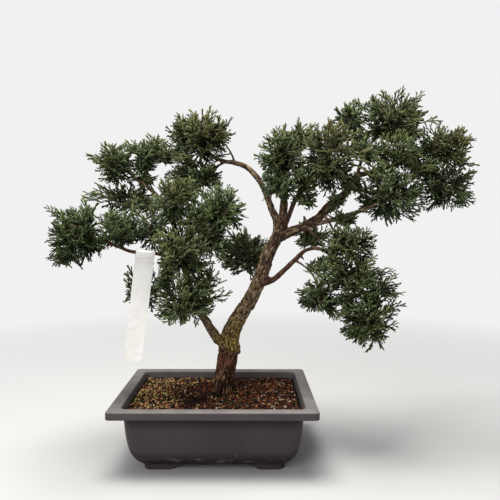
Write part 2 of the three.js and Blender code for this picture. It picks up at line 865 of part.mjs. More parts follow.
// The heart of a spray is a small ball of tufts. No two corners of the ball that lie next to each
// other are both raised into tufts. Where another node is near, the ball's surface draws back.
function buildHeart(name, spray, random, label) {
  const bare = new THREE.IcosahedronGeometry(1, spray.detail ?? HEART_DETAIL);
  bare.deleteAttribute("normal");
  bare.deleteAttribute("uv");
  const ball = mergeVertices(bare, 1e-4);
  const place = ball.getAttribute("position");
  const neighbours = Array.from({ length: place.count }, () => new Set());
  for (let i = 0; i < ball.index.count; i += 3) {
    const corners = [0, 1, 2].map((k) => ball.index.getX(i + k));
    for (const a of corners) {
      for (const b of corners) if (a !== b) neighbours[a].add(b);
    }
  }
  const middle = new THREE.Vector3(...spray.at);
  const order = Array.from({ length: place.count }, (_, i) => [random(), i]).sort((a, b) => a[0] - b[0]);
  const raised = new Set();
  for (const [, i] of order) {
    const direction = new THREE.Vector3().fromBufferAttribute(place, i);
    const aim = shaken(direction, HEART_UNEVEN, random);
    const tuft = ![...neighbours[i]].some((other) => raised.has(other));
    if (tuft) raised.add(i);
    let share = tuft ? spray.heart + HEART_TUFT * random() : spray.heart * (1 - HEART_UNEVEN * random());
    let point = pointOfSpray(spray, aim, share);
    const isNear = (other) => {
      const room = stretchDistance({ from: middle, to: point }, other) - other.radius;
      return room < HEART_TO_LABEL;
    };
    while (share > 0.1 && (roomInSpray(point, name) < SPRAY_GAP || label.some(isNear))) {
      share -= 0.04;
      point = pointOfSpray(spray, aim, share);
    }
    place.setXYZ(i, point.x, point.y, point.z);
  }
  return solidOf(ball);
}

// The needles stand out of the heart on all sides. One that would cross another node is bent or
// made shorter until it is clear.
function sprayNeedles(name, spray, seed, label, wood) {
  const random = randomSource(seed);
  const needles = [];
  const count = Math.round((sprayArea(spray.reach) / AREA_PER_NEEDLE) * spray.full);
  for (let i = 0; i < count; i++) {
    const even = evenDirection(i, count, seed);
    for (const share of NEEDLE_REACHES) {
      const direction = shaken(even, NEEDLE_SHAKE, random);
      const to = pointOfSpray(spray, direction, share + NEEDLE_UNEVEN * random());
      const root = pointOfSpray(spray, direction, spray.heart * NEEDLE_ROOT);
      const stand = pointOfSpray(spray, direction, spray.heart * NEEDLE_STAND);
      const size = { to, radius: NEEDLE_RADIUS * 0.6, owner: name };
      if (!isClear({ from: root, ...size }, label) || !isClear({ from: stand, ...size }, wood)) continue;
      needles.push(needle(root, to, NEEDLE_RADIUS));
      break;
    }
  }
  for (const [owner, tip] of LEADERS) {
    if (owner !== name) continue;
    const to = new THREE.Vector3(...tip);
    const root = new THREE.Vector3(...spray.at).lerp(to, LEADER_ROOT);
    needles.push(needle(root, to, LEADER_RADIUS));
  }
  return needles;
}

function buildSprays(woodRoom, label) {
  const wood = Object.values(LIMBS).flatMap((limb) => stretchesOfRoute(limb.route));
  const solids = {};
  Object.entries(SPRAYS).forEach(([name, spray], index) => {
    const heart = buildHeart(name, spray, randomSource(500 + index), label);
    const needles = sprayNeedles(name, spray, 11 + index, label, wood);
    solids[name] = largestBody(joined([heart, ...needles]).subtract(woodRoom));
  });
  return solids;
}

// The label is one strip folded over the far left limb, with its two ends stuck together below. It
// hangs square to the limb, so its frame runs along the limb, down the label, and through it.
const LABEL_SEAT = new THREE.Vector3(-70.8, -37.3, 220.25);
const LABEL_SEAT_RADIUS = 1.95;
const LABEL_ALONG = new THREE.Vector3(22.5, 7, -2.75).normalize();
const LABEL_DOWN = new THREE.Vector3(0, 0, -1).projectOnPlane(LABEL_ALONG).normalize();
const LABEL_THROUGH = LABEL_ALONG.clone().cross(LABEL_DOWN);
const LABEL_HANG = LABEL_LOOP - LABEL_SEAT_RADIUS - SEAT_GAP;

// The strip's outline seen along the limb, with the middle of the loop at 0, 0.
function labelOutline() {
  const outerLoop = LABEL_LOOP + LABEL_LOOP_WALL;
  const half = LABEL_THICKNESS / 2;
  const neck = -LABEL_NECK * outerLoop;
  const end = outerLoop - LABEL_LENGTH;
  const shape = new THREE.Shape();
  shape.moveTo(-half, end);
  for (let step = 0; step <= LABEL_STEPS; step++) {
    shape.lineTo(half, THREE.MathUtils.lerp(end, neck, step / LABEL_STEPS));
  }
  shape.absarc(0, 0, outerLoop, -LABEL_CHEEK, Math.PI + LABEL_CHEEK, false);
  for (let step = LABEL_STEPS; step > 0; step--) {
    shape.lineTo(-half, THREE.MathUtils.lerp(end, neck, step / LABEL_STEPS));
  }
  const hole = new THREE.Path();
  hole.moveTo(0, neck + 2);
  hole.absarc(0, 0, LABEL_LOOP, -LABEL_CHEEK, Math.PI + LABEL_CHEEK, false);
  shape.holes.push(hole);
  return shape;
}

// A point of the label from how far it is along the limb, through the strip and down the strip.
function labelPoint(along, through, down) {
  const turn = LABEL_TWIST * Math.max(0, down / LABEL_LENGTH);
  const across = along * Math.cos(turn) - through * Math.sin(turn);
  const deep = along * Math.sin(turn) + through * Math.cos(turn);
  return LABEL_SEAT.clone()
    .addScaledVector(LABEL_ALONG, across)
    .addScaledVector(LABEL_THROUGH, deep)
    .addScaledVector(LABEL_DOWN, down + LABEL_HANG);
}

function buildLabel() {
  const strip = new THREE.ExtrudeGeometry(labelOutline(), {
    depth: LABEL_WIDTH,
    steps: 2,
    curveSegments: 7,
    bevelEnabled: false,
  });
  strip.translate(0, 0, -LABEL_WIDTH / 2);
  const place = strip.getAttribute("position");
  for (let i = 0; i < place.count; i++) {
    const point = labelPoint(place.getZ(i), place.getX(i), -place.getY(i));
    place.setXYZ(i, point.x, point.y, point.z);
  }
  return solidOf(strip);
}

// The space that the label takes, as thick stretches side by side down its length.
function labelRoom() {
  const room = [];
  for (const across of [-0.5, -0.25, 0, 0.25, 0.5]) {
    for (let step = 0; step < LABEL_STEPS; step++) {
      const from = labelPoint(across * LABEL_WIDTH, 0, (LABEL_LENGTH * step) / LABEL_STEPS);
      const to = labelPoint(across * LABEL_WIDTH, 0, (LABEL_LENGTH * (step + 1)) / LABEL_STEPS);
      room.push({ from, to, radius: LABEL_ROOM });
    }
  }
  return room;
}

const FINISHES = {
  pot: { color: 0x4b494a, roughness: 0.55, metalness: 0 },
  soil: { color: 0x6b4027, roughness: 0.95, metalness: 0 },
  bark: { color: 0x76583f, roughness: 0.9, metalness: 0 },
  foliage: { color: 0x34502f, roughness: 0.7, metalness: 0 },
  label: { color: 0xeae8e2, roughness: 0.6, metalness: 0 },
};

function named(name, solid, finish) {
  const mesh = new THREE.Mesh(geometryOf(solid), new THREE.MeshStandardMaterial(FINISHES[finish]));
  mesh.name = name;
  return mesh;
}

const tree = new THREE.Group();
tree.add(named("pot", buildPot(), "pot"));
tree.add(named("soil", buildSoil(buildTrunkHole()), "soil"));
tree.add(named("trunk_and_limbs", buildWood(0), "bark"));
tree.add(named("hanging_label", buildLabel(), "label"));
for (const [name, solid] of Object.entries(buildSprays(buildWood(SEAT_GAP), labelRoom()))) {
  tree.add(named(name, solid, "foliage"));
}

// The origin goes on the table, under the middle of the tree and pot together.
const box = new THREE.Box3().setFromObject(tree);
const middle = box.getCenter(new THREE.Vector3());
tree.position.set(-middle.x, -middle.y, -box.min.z);

export default tree;
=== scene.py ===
"""Itoigawa juniper bonsai in a training pot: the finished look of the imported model.

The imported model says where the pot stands. Everything is laid out from the middle of the pot on the
table, in millimetres, with +X to the viewer's right, +Y away from the viewer and +Z up. Each class
builds one sub-assembly, and Bench turns its millimetres into the model's own metres.
"""

from __future__ import annotations

import json
import logging
import math
import random
from collections.abc import Callable, Iterable, Sequence
from dataclasses import dataclass
from enum import Enum

import bmesh
import bpy
import numpy as np
from mathutils import Matrix, Quaternion, Vector, noise
from mathutils.bvhtree import BVHTree

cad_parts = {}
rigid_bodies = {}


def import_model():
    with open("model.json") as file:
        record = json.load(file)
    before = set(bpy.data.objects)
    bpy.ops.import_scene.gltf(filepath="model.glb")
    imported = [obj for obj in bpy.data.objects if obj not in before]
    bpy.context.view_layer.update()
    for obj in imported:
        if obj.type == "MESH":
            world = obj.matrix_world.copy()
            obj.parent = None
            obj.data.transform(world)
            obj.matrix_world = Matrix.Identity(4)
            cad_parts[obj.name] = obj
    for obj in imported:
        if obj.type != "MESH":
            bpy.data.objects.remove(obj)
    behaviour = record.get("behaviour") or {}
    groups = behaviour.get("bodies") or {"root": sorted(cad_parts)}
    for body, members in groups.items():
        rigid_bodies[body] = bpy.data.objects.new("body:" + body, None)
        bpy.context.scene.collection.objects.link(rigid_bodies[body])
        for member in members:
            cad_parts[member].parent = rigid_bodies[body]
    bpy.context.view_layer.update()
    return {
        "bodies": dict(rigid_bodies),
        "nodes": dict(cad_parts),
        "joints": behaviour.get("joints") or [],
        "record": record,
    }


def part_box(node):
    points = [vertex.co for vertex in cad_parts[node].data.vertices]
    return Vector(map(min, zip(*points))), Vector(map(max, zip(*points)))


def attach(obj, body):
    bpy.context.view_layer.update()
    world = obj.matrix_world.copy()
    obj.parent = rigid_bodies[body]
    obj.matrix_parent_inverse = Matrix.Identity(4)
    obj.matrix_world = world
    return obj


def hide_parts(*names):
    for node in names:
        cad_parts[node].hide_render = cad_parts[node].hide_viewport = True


LOG = logging.getLogger("bonsai")
MM = 0.001
GOLDEN_ANGLE = math.pi * (3 - math.sqrt(5))

# Points of a route that lie closer than this, in millimetres, count as this far apart.
LEAST_STEP = 1e-4

# The power in the usual short formula for an ellipsoid's area.
AREA_POWER = 1.6

BMesh = bmesh.types.BMesh
BMEdge = bmesh.types.BMEdge
BMVert = bmesh.types.BMVert
Mesh = bpy.types.Mesh
Material = bpy.types.Material
Socket = bpy.types.NodeSocket
Colour = tuple[float, float, float, float]
Point = tuple[float, float, float]
Path = list[tuple[Vector, float]]
Fan = tuple[Vector, list[tuple[Vector, Vector, float]]]
HeightFinder = Callable[[float, float], "float | None"]


def from_srgb(red: float, green: float, blue: float) -> Colour:
    """Turns an sRGB colour into the linear one that shaders use.

    Args:
        red: Red from 0 to 255.
        green: Green from 0 to 255.
        blue: Blue from 0 to 255.

    Returns:
        The linear colour with full alpha.
    """
    linear = [((part / 255 + 0.055) / 1.055) ** 2.4 for part in (red, green, blue)]
    return (linear[0], linear[1], linear[2], 1.0)


def blended(first: Sequence[float], second: Sequence[float], share: float) -> Colour:
    """Mixes two colours.

    Args:
        first: The colour at a share of 0.
        second: The colour at a share of 1.
        share: How far from the first to the second.

    Returns:
        The mixed colour.
    """
    mixed = [a + (b - a) * share for a, b in zip(first, second)]
    return (mixed[0], mixed[1], mixed[2], 1.0)


class Slot(Enum):
    """The record's material slots."""

    POT = "pot_plastic"
    GRIT = "soil_grit"
    BARK = "bark"
    LEAF = "scale_foliage"
    LABEL = "label_plastic"


class LeafTone(Enum):
    """The colours that the scale leaves take; SHADE is the painted shade that shoots deep in a spray,
    low down or at its outline are darkened towards.
    """

    SHADE = from_srgb(34, 44, 22)
    GREEN = from_srgb(104, 120, 76)
    GREY = from_srgb(112, 126, 94)
    OLIVE = from_srgb(124, 122, 66)
    BRONZE = from_srgb(122, 92, 52)


class GritTone(Enum):
    """The colours of the soil's stones."""

    RED = from_srgb(98, 46, 26)
    RUST = from_srgb(146, 84, 46)
    DARK = from_srgb(17, 9, 6)
    TAN = from_srgb(206, 162, 110)
    GOLD = from_srgb(214, 184, 112)
    OLIVE = from_srgb(84, 78, 40)
    PALE = from_srgb(220, 206, 188)


# The stones of the ochre side of the soil, and those of the rest with how common each is.
GOLDEN_GRIT = (
    GritTone.GOLD, GritTone.TAN, GritTone.TAN, GritTone.OLIVE, GritTone.RUST, GritTone.DARK
)
COMMON_GRIT = {
    GritTone.RED: 9,
    GritTone.RUST: 3,
    GritTone.DARK: 6,
    GritTone.TAN: 0.6,
    GritTone.OLIVE: 0.6,
}


@dataclass(frozen=True)
class Limb:
    """One limb of the tree.

    Attributes:
        name: What the limb is called.
        route: Points x, y, z along it, each with the limb's radius there.
        redness: How red-brown its bark is, from 0 for tan to 1.
    """

    name: str
    route: tuple[tuple[float, float, float, float], ...]
    redness: float = 0.6


@dataclass(frozen=True)
class Spray:
    """One spray of foliage.

    Attributes:
        name: What the spray is called, after its CAD node.
        at: Its middle.
        reach: How far it reaches from there along x, y and z.
        full: How closely its tufts stand, where 1 is usual.
        bronze: How far its shoots have turned bronze.
        extra_shade: How much more painted shade its shoots get than usual; below zero, how much less.
    """

    name: str
    at: Point
    reach: Point
    full: float = 1.0
    bronze: float = 0.03
    # Painted shade added to its shoots, or taken away below zero.
    extra_shade: float = 0.0

    def share_at(self, point: Vector) -> float:
        """How far out a point is, as a share of the reach in its direction."""
        return math.sqrt(sum(((p - a) / r) ** 2 for p, a, r in zip(point, self.at, self.reach)))

    def area(self) -> float:
        """The area of the ball that the spray reaches to, in square millimetres."""
        x, y, z = self.reach
        mean = sum(flat**AREA_POWER for flat in (x * y, x * z, y * z)) / 3
        return 4 * math.pi * mean ** (1 / AREA_POWER)


LIMBS: tuple[Limb, ...] = (
    Limb("trunk", redness=0.12, route=(
        (6, 16, 33.5, 10.5), (6.2, 15, 51.5, 12.8), (5.6, 15, 62.5, 12.4), (7.8, 15, 79.5, 11),
        (11.5, 15, 101.5, 11.4), (13.5, 15, 121.5, 10.6), (20.8, 13, 140.5, 9), (33, 12, 159.5, 8),
        (47.2, 10, 189.5, 7.6), (58, 8, 220.5, 7), (68.5, 8, 239.5, 6.4),
    )),
    Limb("low_left", redness=0.15, route=(
        (13, 15, 113, 6.2), (2.5, 11, 120, 6.2), (-4.5, 6, 130, 5.2), (-11, -2, 142.5, 4.5),
        (-18, -8, 155.5, 4.2), (-25, -11, 171, 4), (-30, -12, 189, 3.8), (-34, -12, 208, 3.5),
        (-38, -12, 225, 3.2), (-43, -12, 243, 2.9), (-53, -12, 264, 2.6), (-65, -12, 281.5, 2.3),
        (-77, -12, 291.5, 2), (-90, -12, 301.5, 1.7), (-103, -12, 310.5, 1.4),
    )),
    Limb("far_left", redness=0.85, route=(
        (-33, -12, 201, 2.8), (-42, -22, 211, 2.4), (-51, -30, 216.2, 2.2), (-61, -34, 219.2, 2),
        (-83.5, -41, 221.2, 1.9), (-95.5, -44, 226, 1.8), (-108.5, -45, 231, 1.6),
        (-121.5, -46, 235.5, 1.4), (-135.5, -46, 239.5, 1.2),
    )),
    Limb("upper_left", redness=0.12, route=(
        (66, 9, 233.5, 5.4), (65.5, 12, 253.5, 4.4), (60.5, 14, 264.5, 3.8), (55.5, 16, 278.5, 3.5),
        (48.5, 18, 294.5, 3.2), (38.5, 20, 307.5, 3.1), (29.5, 22, 314.5, 3), (18.5, 22, 318, 2.7),
        (7.5, 20, 319.5, 2.4), (-2.5, 18, 323, 2), (-11.5, 15, 331, 1.6), (-20.5, 14, 342, 1.3),
    )),
    Limb("upright", redness=0.4, route=(
        (70, 8, 235.5, 6), (72.5, 9, 259.5, 5), (73, 10, 270.5, 4.4), (74, 9, 282.5, 3.5),
        (74.5, 5, 298.5, 2.8), (72.5, -1, 314.5, 2), (69.5, -4, 327, 1.5),
    )),
    Limb("upper_middle", redness=0.75, route=(
        (73.5, 7, 246.5, 3.4), (79, 1, 261.5, 2.8), (85.5, -2, 277.5, 2.6), (94.5, -4, 288.5, 2.4),
        (104.5, -7, 303.5, 2.1), (111.5, -8, 317.5, 1.6), (117.5, -8, 329.5, 1.3),
    )),
    Limb("right", redness=0.25, route=(
        (66, 8, 234.5, 6), (85.5, 6, 243.5, 5), (99.5, 4, 249.5, 4.9), (111.5, 4, 257.5, 4.7),
        (122, 6, 269.5, 4.4), (138.5, 8, 282, 4.2), (147, 10, 292.5, 3.8), (155.5, 12, 303, 3.2),
        (167.5, 14, 307, 2.7), (180.5, 15, 311, 2.4), (199.5, 16, 317, 2.2), (218.5, 16, 325, 2),
        (235.5, 13, 331, 1.7), (251.5, 10, 337, 1.4),
    )),
    Limb("right_low", redness=0.1, route=(
        (101.5, 4, 249.5, 3.4), (113, -2, 251.5, 2.8), (128, -8, 255.5, 2.6), (143, -12, 260.5, 2.5),
        (157.5, -13, 265.5, 2.3), (169.5, -10, 270.5, 2), (181.5, -5, 279.5, 1.5),
    )),
    Limb("drooping", redness=0.7, route=(
        (47, 8, 182.5, 3.5), (61, -8, 190, 3.2), (72, -16, 200.7, 2.9), (83.5, -22, 213, 2.6),
        (93.5, -26, 222.5, 2.2), (106.5, -28, 224.5, 2), (120.5, -31, 216.5, 1.8),
        (133.5, -34, 203.5, 1.7), (146.5, -34, 189.5, 1.5), (155.5, -32, 173.5, 1.3),
        (158.5, -31, 154, 1.1),
    )),
    Limb("right_top", redness=0.2, route=(
        (153.5, 12, 299.5, 2.6), (156.5, 13, 313, 2), (162.5, 16, 327, 1.8), (173.5, 18, 344, 1.6),
        (187.5, 20, 362, 1.3),
    )),
    Limb("right_top_inner", redness=0.2, route=(
        (159.5, 15, 322, 1.6), (154.5, 22, 342, 1.3), (148.5, 28, 365, 1.1),
    )),
    Limb("right_front", route=((191.5, 16, 314, 1.6), (193.5, 5, 319, 1.3), (193.5, -8, 326.5, 1.1))),
    Limb("right_end_low", route=((218.5, 16, 324, 1.7), (234, 20, 312, 1.4), (252, 22, 298, 1.1))),
    Limb("right_behind", route=((91.5, 7, 245.5, 2), (98, 20, 241.5, 1.6), (106, 34, 235.5, 1.2))),
    Limb("trunk_behind", route=((55, 9, 211.5, 2.4), (49, 28, 211.5, 1.7), (38, 50, 214.5, 1.2))),
    Limb("pale_twig", redness=0.0, route=(
        (115.5, 4, 262.5, 1.8), (120.5, -8, 251.5, 1.5), (126.5, -20, 239.5, 1.3),
        (136.5, -30, 231.5, 1.1),
    )),
    Limb("pale_stub", redness=0.0, route=(
        (98.5, 3, 247.5, 1.9), (103.5, -7, 239.5, 1.5), (108.5, -16, 234.5, 1.1),
    )),
    Limb("drooping_inner", route=(
        (81.5, -21, 212.5, 1.5), (91.5, -26, 206.5, 1.2), (100.5, -29, 197.5, 1.1),
        (106.5, -30, 181.5, 1),
    )),
    Limb("low_left_front", route=((-20, -9, 160.5, 2.2), (-25, -20, 163, 1.6), (-31, -31, 168, 1.2))),
    Limb("low_left_outer", route=(
        (-30, -12, 187, 2), (-44, -9, 180, 1.5), (-60, -4, 172, 1.3), (-79.5, 0, 166, 1.1),
    )),
    Limb("left_middle", route=((-34, -12, 209, 2), (-35, -24, 215, 1.6), (-35, -38, 222, 1.2))),
    Limb("left_gap", route=((-41, -12, 236, 2.2), (-53, -17, 241, 1.6), (-68, -22, 247, 1.1))),
    Limb("left_inner", route=(
        (-38, -12, 224, 2), (-24, -13, 238, 1.6), (-10, -12, 250, 1.4), (5.5, -10, 263, 1.1),
    )),
    Limb("left_upper_front", route=(
        (-43, -12, 242, 1.9), (-43, -22, 255, 1.5), (-42, -29, 275.5, 1.1),
    )),
    Limb("left_shelf", route=(
        (-92.5, -43, 225.5, 1.5), (-93.5, -40, 236.5, 1.3), (-94.5, -38, 246.5, 1.1),
    )),
    Limb("left_top", route=((-76, -12, 290.5, 1.5), (-76, -9, 305.5, 1.3), (-75.5, -6, 322.5, 1.1))),
    Limb("left_open", route=((-63, -12, 279.5, 1.5), (-78, -7, 279.5, 1.3), (-96, -2, 279.5, 1.1))),
    Limb("top_left_twig", route=(
        (19.5, 22, 316.5, 1.5), (14.5, 21, 328.5, 1.2), (7.5, 19, 338.5, 1.1), (-1.5, 17, 344, 1),
    )),
    Limb("top_left_under", route=((7.5, 20, 318.5, 1.6), (-6.5, 22, 312, 1.3), (-21.5, 22, 308, 1.1))),
    Limb("upright_front", route=(
        (73.5, 10, 279.5, 1.9), (69.5, -2, 287.5, 1.5), (66.5, -13, 295, 1.1),
    )),
)

SPRAYS: tuple[Spray, ...] = (
    Spray("far_left", (-135.3, -46, 240), (33, 34, 34), 1.25, 0.03, 0.24),
    Spray("left_shelf", (-97, -38, 245), (28, 29, 22), 1.0, 0.03, 0.08),
    Spray("left_crown", (-107, -12, 313.5), (31, 32, 27), 0.8),
    Spray("left_top", (-72.5, -5, 324), (25, 26, 21)),
    Spray("left_open", (-101.5, -1, 277), (34, 29, 23), 0.55, 0.03, -0.1),
    Spray("top_left", (-19.5, 14, 347), (44, 36, 32), 1.05, 0.1, -0.06),
    Spray("top_left_under", (-25, 22, 306.5), (36, 30, 25), 0.75, 0.03, -0.15),
    Spray("left_front", (-39.5, -30, 277), (25, 29, 28), 1.0, 0.12, -0.05),
    Spray("left_inner", (5, -10, 264), (30, 31, 33), 1.0, 0.03, -0.05),
    Spray("trunk_behind", (31, 49, 213), (39, 28, 31), 0.9, 0.03, -0.25),
    Spray("left_middle", (-34, -39, 222), (36, 34, 38), 1.0, 0.12, -0.12),
    Spray("low_left", (-33.5, -33, 168), (37, 33, 29), 0.75, 0.03, -0.14),
    Spray("low_left_outer", (-81.5, 2, 178), (24, 26, 32), 0.75),
    Spray("upright", (72.5, -6, 325), (35, 35, 33), 1.0, 0.06, -0.08),
    Spray("upright_front", (66, -14, 292), (26, 24, 20), 0.8),
    Spray("upper_middle", (120, -12, 320.5), (36, 37, 44), 1.0, 0.14),
    Spray("right_top_inner", (149, 30, 370), (24, 24, 25), 0.8),
    Spray("right_top", (192.5, 20, 368), (43, 36, 32), 1.0, 0.1, 0.06),
    Spray("right_end", (249.5, 10, 334.5), (36, 33, 30), 1.0, 0.2, 0.06),
    Spray("right_end_low", (254, 22, 294), (37, 32, 33), 0.75, 0.03, 0.1),
    Spray("right_front", (194, -8, 326.5), (28, 26, 22), 1.0, 0.1),
    Spray("right_middle", (186.5, 0, 286), (43, 38, 38), 1.0, 0.03, 0.05),
    Spray("drooping_top", (140, -30, 230.5), (36, 29, 24), 1.0, 0.06, 0.14),
    Spray("drooping_middle", (137, -36, 197), (40, 32, 25), 0.95, 0.03, 0.14),
    Spray("drooping_inner", (110, -28, 173), (27, 25, 23), 0.7, 0.03, 0.1),
    Spray("drooping_end", (156.5, -30, 148.5), (38, 32, 31), 0.82, 0.03, 0.04),
    Spray("right_behind", (106.5, 36, 236), (24, 24, 22), 0.8, 0.03, -0.2),
    Spray("left_gap", (-68.5, -22, 247), (22, 24, 29), 0.7),
)

# Small loose tufts that fill in between the sprays, each named for the spray that it belongs to.
WISPS: tuple[Spray, ...] = (
    Spray("right_middle", (164, 4, 330), (18, 15, 16), 0.77),
    Spray("right_top", (159, 12, 345), (15, 15, 12), 0.68),
    Spray("upper_middle", (92, -10, 296), (19, 15, 18), 0.77),
    Spray("upper_middle", (96, -14, 277), (18, 14, 14), 0.77),
    Spray("upper_middle", (127, -10, 275), (14, 12, 12), 0.51),
    Spray("drooping_top", (139, -14, 255), (21, 15, 12), 0.68),
    Spray("left_inner", (-2, -14, 231), (25, 19, 22), 0.77),
    Spray("left_middle", (-20, -30, 258), (20, 18, 22), 0.85),
    Spray("left_top", (-73, -8, 298), (13, 12, 10), 0.5),
    Spray("left_top", (-50, -4, 325), (18, 15, 11), 0.59),
    Spray("drooping_middle", (176, -32, 185), (19, 14, 18), 0.47),
    Spray("drooping_inner", (95, -28, 171), (12, 11, 16), 0.38),
    Spray("drooping_top", (106, -32, 209), (15, 14, 14), 0.68),
    Spray("drooping_middle", (132, -36, 172), (18, 15, 14), 0.68),
    Spray("drooping_end", (163, -34, 175), (20, 15, 14), 0.68),
    Spray("low_left", (-9, -36, 191), (18, 16, 19), 0.68),
    Spray("low_left", (-51, -38, 191), (14, 15, 20), 0.68),
    Spray("left_open", (-71, -8, 269), (18, 15, 16), 0.59),
    Spray("right_end_low", (225, 8, 312), (16, 15, 14), 0.68),
    Spray("upright", (66, -8, 305), (16, 15, 15), 0.59),
    Spray("trunk_behind", (28, 28, 231), (26, 20, 19), 0.68),
    Spray("far_left", (-152.5, -44, 214), (18, 15, 11), 0.51),
    Spray("upright", (92, -8, 346), (15, 15, 16), 0.77),
    Spray("right_end", (214, 10, 357), (15, 15, 15), 0.68),
    Spray("right_front", (213, 2, 320), (16, 15, 16), 0.68),
    Spray("right_middle", (145, -2, 295), (18, 15, 15), 0.68),
    Spray("drooping_top", (118, -36, 212), (15, 14, 12), 0.77),
    Spray("left_front", (-31, -20, 285), (19, 18, 18), 0.77),
    Spray("top_left_under", (-13, 6, 302), (20, 18, 16), 0.59),
    Spray("left_crown", (-78, -10, 312), (15, 15, 15), 0.51),
    Spray("left_shelf", (-86, -32, 241), (18, 16, 15), 0.68),
)

# Stubs of cut twigs and a swelling over the trunk's foot, grown into the wood.
KNOTS: tuple[Limb, ...] = (
    Limb("swelling", redness=0.3, route=((16.5, 12, 119, 6), (19, 10, 112, 7.2), (19.5, 10, 105, 5.8))),
    Limb("cut_stub", redness=0.9, route=(
        (58, -6, 188, 2.2), (55.5, -8, 191.5, 2.5), (54.5, -9, 194, 2),
    )),
    Limb("upper_stub", redness=0.9, route=(
        (88, -22, 219, 1.6), (90, -24, 215, 1.3), (92, -25, 212.5, 1),
    )),
    Limb("right_stub", redness=0.3, route=(
        (96, 3, 252, 2.2), (95, 1, 256.5, 1.6), (94, 0, 258.5, 1.2),
    )),
)

# Long shoots that stand out past the rest of their spray, each given by where its tip is.
LEADERS: tuple[tuple[str, Point], ...] = (
    ("right_top", (229.5, 20, 398.5)),
    ("right_end", (284.5, 10, 342.5)),
    ("right_end_low", (289, 22, 272.5)),
    ("far_left", (-166.5, -46, 268)),
    ("far_left", (-166.4, -46, 212.5)),
    ("drooping_middle", (185.5, -34, 202.5)),
    ("drooping_end", (197.5, -30, 168)),
    ("drooping_inner", (81.5, -31, 179.5)),
    ("low_left", (18, -28, 179.5)),
)

# Long thin shoots that stand clear of their spray, each from its root to its tip.
STRAYS: tuple[tuple[str, Point, Point], ...] = (
    ("low_left", (-12.2, -24, 186.8), (4.7, -27, 192.4)),
    ("low_left", (-9.8, -28, 180), (12.1, -31, 191.8)),
    ("low_left", (-9.4, -33, 176.5), (9.2, -36, 185.1)),
    ("low_left", (-10.7, -30, 170.9), (10.1, -33, 170.3)),
    ("left_inner", (22.9, -12, 272.8), (32.5, -15, 269.6)),
    ("left_inner", (20.7, -8, 260.2), (34.6, -11, 256)),
    ("upright_front", (77.8, -14, 287.7), (85, -17, 276)),
    ("upright_front", (56.8, -12, 285.6), (48.3, -15, 273.8)),
    ("drooping_middle", (169.3, -34, 195.6), (187.9, -37, 199.1)),
    ("drooping_middle", (173.6, -30, 184.9), (191.3, -33, 188.4)),
    ("drooping_end", (178.9, -30, 174.5), (196.6, -33, 180.1)),
    ("drooping_middle", (105.3, -36, 195.7), (89.5, -39, 203)),
    ("drooping_middle", (103.6, -34, 184.1), (87.9, -37, 180.3)),
    ("drooping_inner", (110.8, -28, 170.9), (96.9, -31, 161.9)),
    ("far_left", (-153.5, -46, 260.8), (-162.2, -49, 266.6)),
    ("far_left", (-130.1, -46, 223), (-123.3, -49, 211.2)),
    ("far_left", (-121.6, -44, 230), (-112.9, -47, 215.1)),
    ("right_end_low", (277.4, 20, 280.8), (289.6, 17, 278.5)),
)


def curve_through(points: Sequence[Vector], per_span: int) -> list[Vector]:
    """Lays a smooth curve through points, spaced by the root of the distance between them.

    Args:
        points: The points to go through, three or more numbers each.
        per_span: How many steps to take between two of them.

    Returns:
        The points of the curve, the given ones among them.
    """
    ends = [points[0] * 2 - points[1], *points, points[-1] * 2 - points[-2]]
    curve = [points[0].copy()]
    for before, start, stop, after in zip(ends, ends[1:], ends[2:], ends[3:]):
        steps = ((before, start), (start, stop), (stop, after))
        gaps = [max((b - a).length, LEAST_STEP) ** 0.5 for a, b in steps]
        span = gaps[1]
        leave = (start - before) / gaps[0] - (stop - before) / (gaps[0] + span) + (stop - start) / span
        arrive = (stop - start) / span - (after - start) / (span + gaps[2]) + (after - stop) / gaps[2]
        for step in range(1, per_span + 1):
            t = step / per_span
            curve.append(
                start * (2 * t**3 - 3 * t**2 + 1)
                + leave * span * (t**3 - 2 * t**2 + t)
                + stop * (3 * t**2 - 2 * t**3)
                + arrive * span * (t**3 - t**2)
            )
    return curve


def limb_path(limb: Limb, per_span: int) -> Path:
    """Samples a limb's smooth route.

    Args:
        limb: The limb.
        per_span: How many steps to take between two of its points.

    Returns:
        Each sampled point with the limb's radius there.
    """
    centres = curve_through([Vector(stop[:3]) for stop in limb.route], per_span)
    radii = [stop[3] for stop in limb.route]
    path = []
    for index, centre in enumerate(centres):
        span = min(index // per_span, len(radii) - 2)
        share = index / per_span - span
        path.append((centre, radii[span] + (radii[span + 1] - radii[span]) * share))
    return path


def even_direction(index: int, count: int, turn: float) -> Vector:
    """One of a set of directions spread evenly over a ball.

    Args:
        index: Which direction of the set.
        count: How many there are.
        turn: How far the set is turned about the upright, in radians.

    Returns:
        The unit direction.
    """
    height = 1 - (2 * index + 1) / count
    ring = math.sqrt(1 - height * height)
    angle = index * GOLDEN_ANGLE + turn
    return Vector((ring * math.cos(angle), ring * math.sin(angle), height))


def random_vector(rng: random.Random, size: float) -> Vector:
    """A vector with each part drawn evenly from minus to plus the given size."""
    return Vector(rng.uniform(-size, size) for _ in range(3))


def random_bow(rng: random.Random, least: float, most: float) -> Vector:
    """Draws which way a stem along +Z bows, and how far."""
    return Vector((rng.uniform(-1, 1), rng.uniform(-1, 1), 0)).normalized() * rng.uniform(least, most)


def turned_to(direction: Vector, roll: float = 0.0) -> Quaternion:
    """The turn that takes +Z to a direction, after a roll about +Z."""
    return direction.to_track_quat("Z", "Y") @ Quaternion((0, 0, 1), roll)


def as_mesh(bm: BMesh, name: str) -> Mesh:
    """Turns a bmesh into a mesh, and frees it."""
    mesh = bpy.data.meshes.new(name)
    bm.to_mesh(mesh)
    bm.free()
    return mesh


def pour(bm: BMesh, part: BMesh) -> None:
    """Adds a small mesh to a large one, and frees the small one."""
    poured = as_mesh(part, "part")
    bm.from_mesh(poured)
    bpy.data.meshes.remove(poured)


